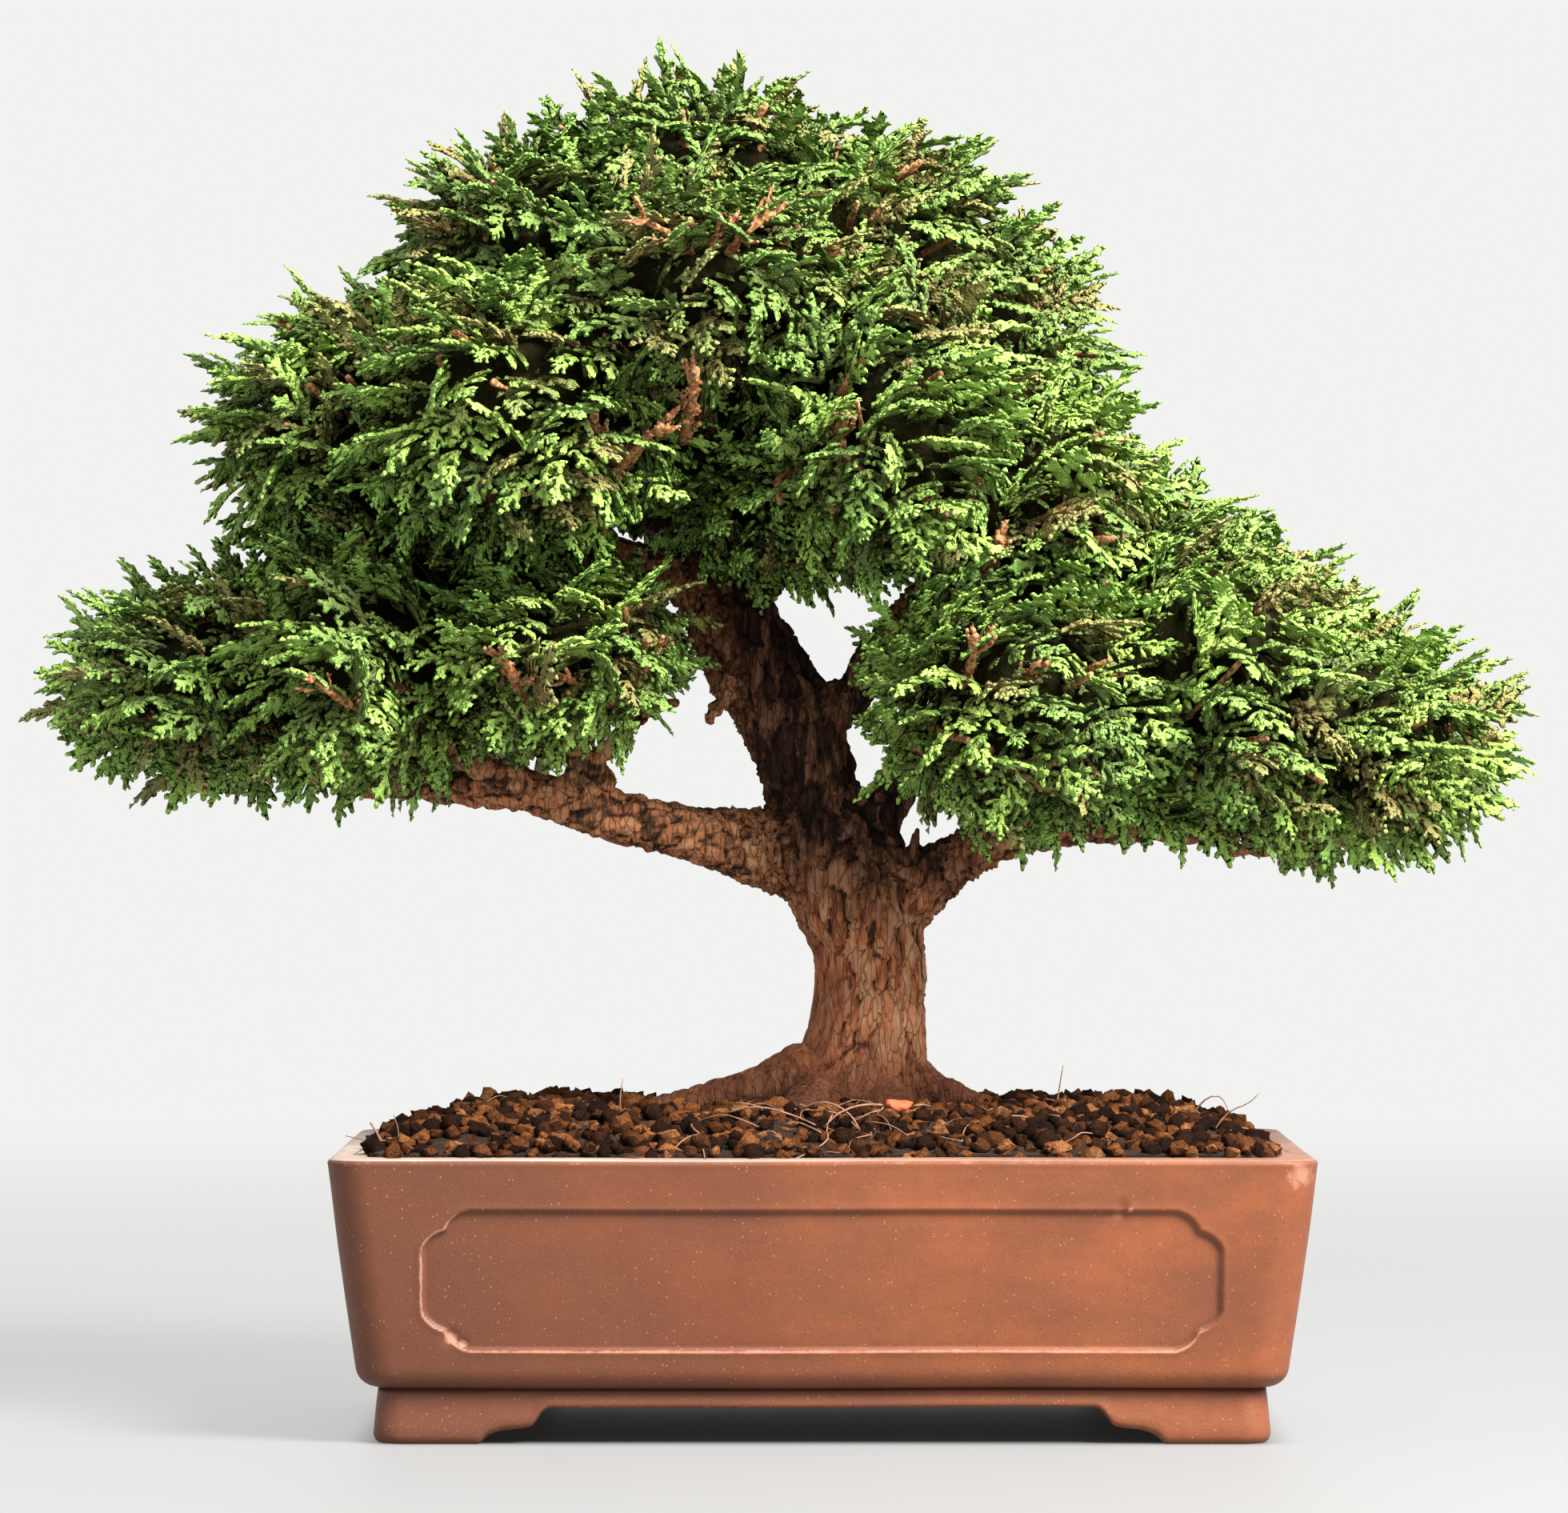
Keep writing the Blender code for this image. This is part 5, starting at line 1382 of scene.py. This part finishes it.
def buildTwigs():
    s = twigSettings
    draw = random.Random(s["seed"])
    paths, stubs, cuts = [], [], []

    def addTwig(path):
        paths.append(path)
        end, radius = path[-1]
        ahead = (end - path[-2][0]).normalized()
        cuts.append([(end - ahead * 0.0004, radius * 0.98), (end + ahead * 0.0002, radius * 0.90),
                     (end + ahead * 0.0005, radius * 0.62)])

    # short scale-clad stubs all round a twig
    def addNubs(first, second, radius, count):
        along = (second - first).normalized()
        for _ in range(count):
            spot = first.lerp(second, draw.random())
            away = Vector([draw.uniform(-1, 1) for _ in range(3)])
            away = (away - along * away.dot(along)).normalized()
            out = (away + along * draw.uniform(0.2, 0.9)).normalized()
            reach = radius * draw.uniform(1.5, 2.5)
            stubs.append([(spot, radius * 0.42), (spot + out * reach * 0.7, radius * 0.42),
                          (spot + out * reach, radius * 0.26)])

    for path in bareTwigs:
        path = [((Vector(point) + Vector((0, 7, 0))) * mm, radius * mm * s["bare"])
                for point, radius in path]
        addTwig(path)
        for (first, thick), (second, thin) in zip(path[-3:], path[-2:]):
            along = (second - first).normalized()
            for _ in range(s["forks"]):
                spot = first.lerp(second, draw.uniform(0.3, 0.9))
                away = Vector([draw.uniform(-1, 1) for _ in range(3)])
                away = (away - along * away.dot(along)).normalized()
                out = (along * 0.8 + away + Vector((0, -0.1, 0.3))).normalized()
                reach = draw.uniform(0.0040, 0.0075)
                bent = spot + out * reach * 0.5
                tip = bent + (out + along * 0.5).normalized() * reach * 0.5
                addTwig([(spot, thin * 0.75), (bent, thin * 0.62), (tip, thin * 0.5)])
                addNubs(spot, tip, thin * 0.6, s["nubs"] // 2)
            addNubs(first, second, thin, s["nubs"])
    for number, node in enumerate(padNodes):
        branch = branchPoint(node)
        for _ in range(s["perPad"]):
            face = skinMesh.polygons[draw.choice(skinOwners[number])]
            end = face.center + face.normal * draw.uniform(-0.004, 0.0012)
            jitter = Vector([draw.uniform(-1, 1) for _ in range(3)]) * 0.006
            start = branch + jitter + (end - branch) * 0.25
            middle = (start + end) / 2 + Vector([draw.uniform(-1, 1) for _ in range(3)]) * 0.003
            size = draw.uniform(0.8, 1.25)
            addTwig([(start, s["thick"] * size), (middle, s["thick"] * 0.85 * size),
                     (end, s["thin"] * size)])
    mesh = tubesMesh("twigs", paths, 2, 5)
    bm = bmesh.new()
    bm.from_mesh(mesh)
    bm.from_mesh(tubesMesh("stubs", stubs, 1, 1, True))
    bm.to_mesh(mesh)
    bm.free()
    mesh.shade_smooth()
    points = pointsOf(mesh)
    bumps = np.array([noise.noise(Vector(p) * 330.0) + 0.5 * noise.noise(Vector(p) * 900.0)
                      for p in points])
    points = points + normalsOf(mesh) * (bumps * 0.0005)[:, None]
    mesh.vertices.foreach_set("co", points.ravel())
    piece = addPiece("fineTwigs", mesh, twigSkin)
    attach(piece, "root")
    ends = addPiece("cutEnds", tubesMesh("cuts", cuts, 2, 1, True), cutWood)
    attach(ends, "root")


buildTwigs()
print("twigs done")

# the soil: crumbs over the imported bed, fine roots among them
soilSettings = {"spacing": 0.0024, "grain": 0.0035, "edge": -0.0004, "seed": 9, "fibres": 64}


def buildCrumb(name, seed):
    bm = bmesh.new()
    bmesh.ops.create_cube(bm, size=1.0)
    bmesh.ops.subdivide_edges(bm, edges=bm.edges[:], cuts=1, use_grid_fill=True)
    shift = Vector((seed * 3.7, seed * 1.3, 0.0))
    for vert in bm.verts:
        round_ = vert.co.normalized() * 0.56
        vert.co = vert.co.lerp(round_, 0.85)
        vert.co *= 1.0 + 0.62 * noise.noise(vert.co * 3.4 + shift)
    bmesh.ops.triangulate(bm, faces=bm.faces)
    mesh = bpy.data.meshes.new(name)
    bm.to_mesh(mesh)
    bm.free()
    storeValues(mesh, "across", [vert.co.x * 0.5 for vert in mesh.vertices])
    return bpy.data.objects.new(name, mesh)


def buildSoilTree():
    tree, given, result, names = newTree("soilCrumbs", [
        ("Geometry", "NodeSocketGeometry", None), ("Crumbs", "NodeSocketCollection", None),
        ("Spacing", "NodeSocketFloat", 0.003), ("Grain", "NodeSocketFloat", 0.004),
        ("Middle", "NodeSocketVector", (0.0, 0.0, 0.0)), ("Half Size", "NodeSocketVector", (1, 1, 1)),
        ("Seed", "NodeSocketInt", 1), ("Material", "NodeSocketMaterial", None)])
    g = given.outputs
    spread = addNode(tree, "GeometryNodeDistributePointsOnFaces", {
        "Mesh": g["Geometry"], "Distance Min": g["Spacing"], "Density Max": 900000.0,
        "Seed": g["Seed"]}, distribute_method="POISSON")
    lift = addNode(tree, "ShaderNodeCombineXYZ", {2: randomFloat(tree, -0.0018, 0.0012, 3)})
    raised = addNode(tree, "GeometryNodeSetPosition", {
        "Geometry": spread.outputs["Points"], "Offset": lift.outputs[0]})
    position = addNode(tree, "GeometryNodeInputPosition").outputs[0]
    gap = doVector(tree, "ABSOLUTE", doVector(tree, "SUBTRACT", position, g["Middle"]))
    room = addNode(tree, "ShaderNodeSeparateXYZ", {0: doVector(tree, "SUBTRACT", g["Half Size"], gap)})
    inside = doMath(tree, "GREATER_THAN",
                    doMath(tree, "MINIMUM", room.outputs[0], room.outputs[1]), 0.0)
    size = doMath(tree, "MULTIPLY", g["Grain"], randomFloat(tree, 0.62, 1.22, 5))
    stretch = doVector(tree, "ADD", randomVector(tree, 0.22, 8), (1.0, 1.0, 1.0))
    turned = addNode(tree, "FunctionNodeEulerToRotation", {0: randomVector(tree, 3.1, 6)}).outputs[0]
    kinds = addNode(tree, "GeometryNodeCollectionInfo", {
        "Collection": g["Crumbs"], "Separate Children": True, "Reset Children": True})
    pick = addNode(tree, "FunctionNodeRandomValue", {4: 0, 5: 5, 8: 7}, data_type="INT")
    placed = addNode(tree, "GeometryNodeInstanceOnPoints", {
        "Points": raised.outputs[0], "Selection": inside, "Instance": kinds.outputs[0],
        "Pick Instance": True, "Instance Index": pick.outputs[2], "Rotation": turned,
        "Scale": addNode(tree, "ShaderNodeVectorMath", {0: stretch, "Scale": size},
                         operation="SCALE").outputs[0]})
    toned = storeField(tree, placed.outputs[0], "tone", randomFloat(tree, 0.0, 1.0, 12), "INSTANCE")
    real = addNode(tree, "GeometryNodeRealizeInstances", {0: toned}).outputs[0]
    across = doMath(tree, "MULTIPLY_ADD", readField(tree, "across"), 0.05, readField(tree, "tone"))
    across = doMath(tree, "MULTIPLY_ADD", across, 0.90, 0.05)
    # the chart's second value says how far each face turns up; the grain paints shade from it on faces that turn
    # down
    facing = addNode(tree, "GeometryNodeInputNormal").outputs[0]
    lean = addNode(tree, "ShaderNodeSeparateXYZ", {0: facing}).outputs["Z"]
    up = doMath(tree, "MULTIPLY_ADD", lean, 0.45, 0.5)
    chart = addNode(tree, "ShaderNodeCombineXYZ", {0: across, 1: up}).outputs[0]
    mapped = storeField(tree, real, "OFBake", chart, "CORNER", "FLOAT2")
    worn = addNode(tree, "GeometryNodeSetMaterial", {"Geometry": mapped, "Material": g["Material"]})
    tree.links.new(worn.outputs[0], result.inputs[0])
    return tree, names


def buildSoil():
    s = soilSettings
    bm = mergedCopy("soil_bed")
    bm.normal_update()
    low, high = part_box("soil_bed")
    spare = [face for face in bm.faces
             if face.normal.z < 0.35 or face.calc_center_median().z < potHigh.z - 0.003]
    bmesh.ops.delete(bm, geom=spare, context="FACES")
    skin = bpy.data.meshes.new("soilSkin")
    bm.to_mesh(skin)
    bm.free()
    holder = addPiece("soilHolder", skin)
    crumbs = bpy.data.collections.new("crumbs")
    for number in range(6):
        crumbs.objects.link(buildCrumb("crumb" + str(number), number + 1))
    tree, names = buildSoilTree()
    middle = (low + high) / 2
    half = (high - low) / 2 - Vector((s["edge"], s["edge"], 0))
    mesh = runTree(tree, names, holder, {
        "Crumbs": crumbs, "Spacing": s["spacing"], "Grain": s["grain"], "Middle": list(middle),
        "Half Size": list(half), "Seed": s["seed"], "Material": akadamaGrain})
    dropObject(holder)
    emptyCollection(crumbs)
    for spareName in ("across", "tone"):
        mesh.attributes.remove(mesh.attributes[spareName])
    mesh.shade_smooth()
    piece = addPiece("soilCrumbs", mesh, akadamaGrain)
    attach(piece, "root")
    return len(mesh.polygons)


print("soil done", buildSoil())


def soilHeight(x, y):
    s = potSettings
    halfX = s["length"] / 2 - s["wall"]
    halfY = s["width"] / 2 - s["wall"]
    edge = min(halfX - abs(x - potCentre.x), halfY - abs(y - potCentre.y))
    return s["height"] - 0.0008 + 0.008 * math.sin(min(max(edge / 0.026, 0), 1) * math.pi / 2)


# roots in mm that stand or lie in plain sight: start, then the way they go
plainFibres = [
    [((-32.5, -40, 64), 0.28), ((-33, -40.5, 68), 0.25), ((-32.4, -41, 73), 0.12)],
    [((57, -20, 66), 0.26), ((57.6, -20, 70), 0.22), ((58.4, -21, 75), 0.12)],
    [((84, -30, 62), 0.3), ((86, -31, 67), 0.26), ((90, -33, 69), 0.2), ((92, -34, 66), 0.12)],
    [((88, -36, 61), 0.28), ((92, -37, 66), 0.24), ((96, -38, 68), 0.16), ((98, -39, 70), 0.1)],
    [((90, -42, 60), 0.26), ((94, -43, 63), 0.22), ((97, -44, 62), 0.12)],
    [((-84, -42, 64), 0.3), ((-82, -44, 61), 0.3), ((-80, -46, 57), 0.26)],
    [((-79, -46, 58), 0.25), ((-78, -47, 62), 0.2), ((-79, -48, 66), 0.12)],
    [((-12, -46, 66), 0.35), ((-5, -49, 67.5), 0.34), ((2, -50, 66), 0.3), ((7, -52, 64), 0.2)],
    [((4, -46, 67), 0.35), ((9, -49, 68.5), 0.34), ((14, -51, 66), 0.28), ((16, -53, 63), 0.2)],
    [((24, -44, 67), 0.4), ((18, -48, 68), 0.35), ((12, -52, 66.5), 0.3), ((9, -54, 64), 0.2)],
]


def buildRoots():
    s = soilSettings
    draw = random.Random(s["seed"])
    paths = [[(Vector(point) * mm, radius * mm * 0.75) for point, radius in path]
             for path in plainFibres]
    for number in range(s["fibres"]):
        near = number % 3 < 2
        if near:
            x = draw.gauss(0.016, 0.022)
            y = draw.uniform(-0.062, -0.020)
        else:
            x = potCentre.x + draw.uniform(-0.088, 0.088)
            y = potCentre.y + draw.uniform(-0.058, 0.058)
        x = min(max(x, potCentre.x - 0.086), potCentre.x + 0.086)
        y = min(max(y, potCentre.y - 0.057), potCentre.y + 0.057)
        ahead = draw.uniform(0, 2 * math.pi)
        stride = draw.uniform(0.0022, 0.0042)
        rise = draw.uniform(-0.2, 0.5)
        path = []
        for step in range(5):
            height = soilHeight(x, y) + 0.0008 + 0.0014 * math.sin(step * 0.9 + number) * (1 + rise)
            path.append((Vector((x, y, height)), (0.00019 - 0.000025 * step)))
            ahead += draw.uniform(-0.8, 0.8)
            x += stride * math.cos(ahead)
            y += stride * math.sin(ahead)
        paths.append(path)
    piece = addPiece("fineRoots", tubesMesh("roots", paths, 1, 3), rootSkin)
    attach(piece, "root")
    bm = bmesh.new()
    bmesh.ops.create_icosphere(bm, subdivisions=3, radius=1.0)
    for vert in bm.verts:
        lump = 1.0 + 0.35 * noise.noise(vert.co * 2.1)
        bent = 0.25 * vert.co.x ** 2
        vert.co = Vector((vert.co.x * 0.0026 * lump, vert.co.y * 0.0017 * lump,
                          (vert.co.z * 0.30 + bent) * 0.0030))
    bm.transform(Matrix.Translation((0.0240, -0.0470, 0.0677)) @ Matrix.Rotation(0.5, 4, "X")
                 @ Matrix.Rotation(0.12, 4, "Y"))
    flake = bpy.data.meshes.new("flake")
    bm.to_mesh(flake)
    bm.free()
    flake.shade_smooth()
    piece = addPiece("barkFlake", flake, redFlake)
    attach(piece, "root")


buildRoots()
print("roots done")

# the soil bed gets the painted shade that shows between the crumbs
for node, material in (("soil_bed", shadedSoilBed), ("drainage_grit", gritStone),
                       ("drain_screen_left", screenPlastic), ("drain_screen_right", screenPlastic),
                       ("screen_clip_left", drawnWire), ("screen_clip_right", drawnWire)):
    frame["nodes"][node].material_slots[0].material = material

# the studio: a round pale floor that turns up into a wall, soft light from the upper right
studioSettings = {"flat": 2.2, "turn": 1.2, "wall": 3.2, "floor": (0.098, 0.099, 0.100),
                  "seen": 0.90, "cast": 0.95, "key": 62.0, "floorGlow": 0.44, "underGlow": 0.01, "inset": 0.016}


def buildStudio():
    s = studioSettings
    profile = [(0.0, 0.0), (0.5, 0.0), (1.2, 0.0), (s["flat"], 0.0)]
    for step in range(1, 13):
        angle = step / 12 * math.pi / 2
        profile.append((s["flat"] + s["turn"] * math.sin(angle), s["turn"] * (1 - math.cos(angle))))
    profile.append((s["flat"] + s["turn"], s["wall"]))
    bm = bmesh.new()
    rings = []
    for radius, height in profile[1:]:
        rings.append([bm.verts.new((radius * math.cos(i / 64 * 2 * math.pi),
                                    radius * math.sin(i / 64 * 2 * math.pi), height))
                      for i in range(64)])
    bm.faces.new(rings[0])
    for lower, upper in zip(rings, rings[1:]):
        for i in range(64):
            j = (i + 1) % 64
            bm.faces.new((lower[i], upper[i], upper[j], lower[j]))
    mesh = bpy.data.meshes.new("studioFloor")
    bm.to_mesh(mesh)
    bm.free()
    mesh.shade_smooth()
    material, tree, shader, place = newMaterial("paleFloor", 0.55, 0.3)
    soft = useGroup(tree, mottleGroup, Place=place, Size=3.0, Sharpness=0.2)["Mask"]
    tree.links.new(mixColours(tree, soft, s["floor"], [c * 0.975 for c in s["floor"]]),
                   shader.inputs["Base Color"])
    # a pale floor that gives back some light of its own, less of it close under the pot
    fromPot = doVector(tree, "ABSOLUTE", doVector(tree, "SUBTRACT", place, tuple(potCentre)))
    halfPot = (potHigh - potLow) / 2 - Vector((s["inset"], s["inset"], 0.0))
    outside = doVector(tree, "MAXIMUM", doVector(tree, "SUBTRACT", fromPot, tuple(halfPot)), (0, 0, 0))
    clear = stretchRange(tree, doVector(tree, "LENGTH", outside), 0.0, 0.014)
    ownLight = doMath(tree, "MULTIPLY_ADD", clear, s["floorGlow"] - s["underGlow"], s["underGlow"])
    tree.links.new(ownLight, shader.inputs["Emission Strength"])
    shader.inputs["Emission Color"].default_value = (1.0, 1.0, 0.99, 1.0)
    radius = doVector(tree, "LENGTH", doVector(tree, "MULTIPLY", place, (1.0, 1.0, 0.6)))
    far = stretchRange(tree, radius, 0.20, 1.5)
    seen = addNode(tree, "ShaderNodeLightPath").outputs["Is Camera Ray"]
    level = doMath(tree, "MULTIPLY_ADD", seen, s["seen"] - s["cast"], s["cast"])
    glow = addNode(tree, "ShaderNodeEmission", {"Color": (0.985, 0.985, 0.975, 1.0),
                                                "Strength": level})
    blend = addNode(tree, "ShaderNodeMixShader", {0: far, 1: shader.outputs[0],
                                                  2: glow.outputs[0]})
    tree.links.new(blend.outputs[0], tree.nodes["Material Output"].inputs["Surface"])
    floor = addPiece("studioFloor", mesh, material)

    world = bpy.data.worlds.new("studioAir")
    world.use_nodes = True
    air = world.node_tree
    seen = addNode(air, "ShaderNodeLightPath").outputs["Is Camera Ray"]
    level = doMath(air, "MULTIPLY_ADD", seen, s["seen"] - s["cast"], s["cast"])
    air.nodes["Background"].inputs["Color"].default_value = (0.98, 0.99, 1.0, 1.0)
    air.links.new(level, air.nodes["Background"].inputs["Strength"])
    bpy.context.scene.world = world

    for name, spot, target, size, power, tint in (
            ("keyLight", (0.66, -0.72, 0.98), (0.0, 0.0, 0.14), 0.62, s["key"], (1.0, 0.985, 0.95)),):
        light = bpy.data.lights.new(name, "AREA")
        light.shape = "DISK"
        light.size = size
        light.energy = power
        light.color = tint
        lamp = bpy.data.objects.new(name, light)
        lamp.location = spot
        lamp.rotation_euler = (Vector(target) - Vector(spot)).to_track_quat("-Z", "Y").to_euler()
        bpy.context.scene.collection.objects.link(lamp)

    camera = bpy.data.cameras.new("camera")
    camera.lens = 189.2
    camera.sensor_width = 36.0
    camera.clip_end = 30.0
    view = bpy.data.objects.new("camera", camera)
    view.location = (potCentre.x - 0.0077, potLow.y - 1.655, 0.1389)
    view.rotation_euler = (math.pi / 2, 0.0, 0.0)
    bpy.context.scene.collection.objects.link(view)
    bpy.context.scene.camera = view
    bpy.context.scene.view_settings.view_transform = "Standard"


buildStudio()
print("studio done")
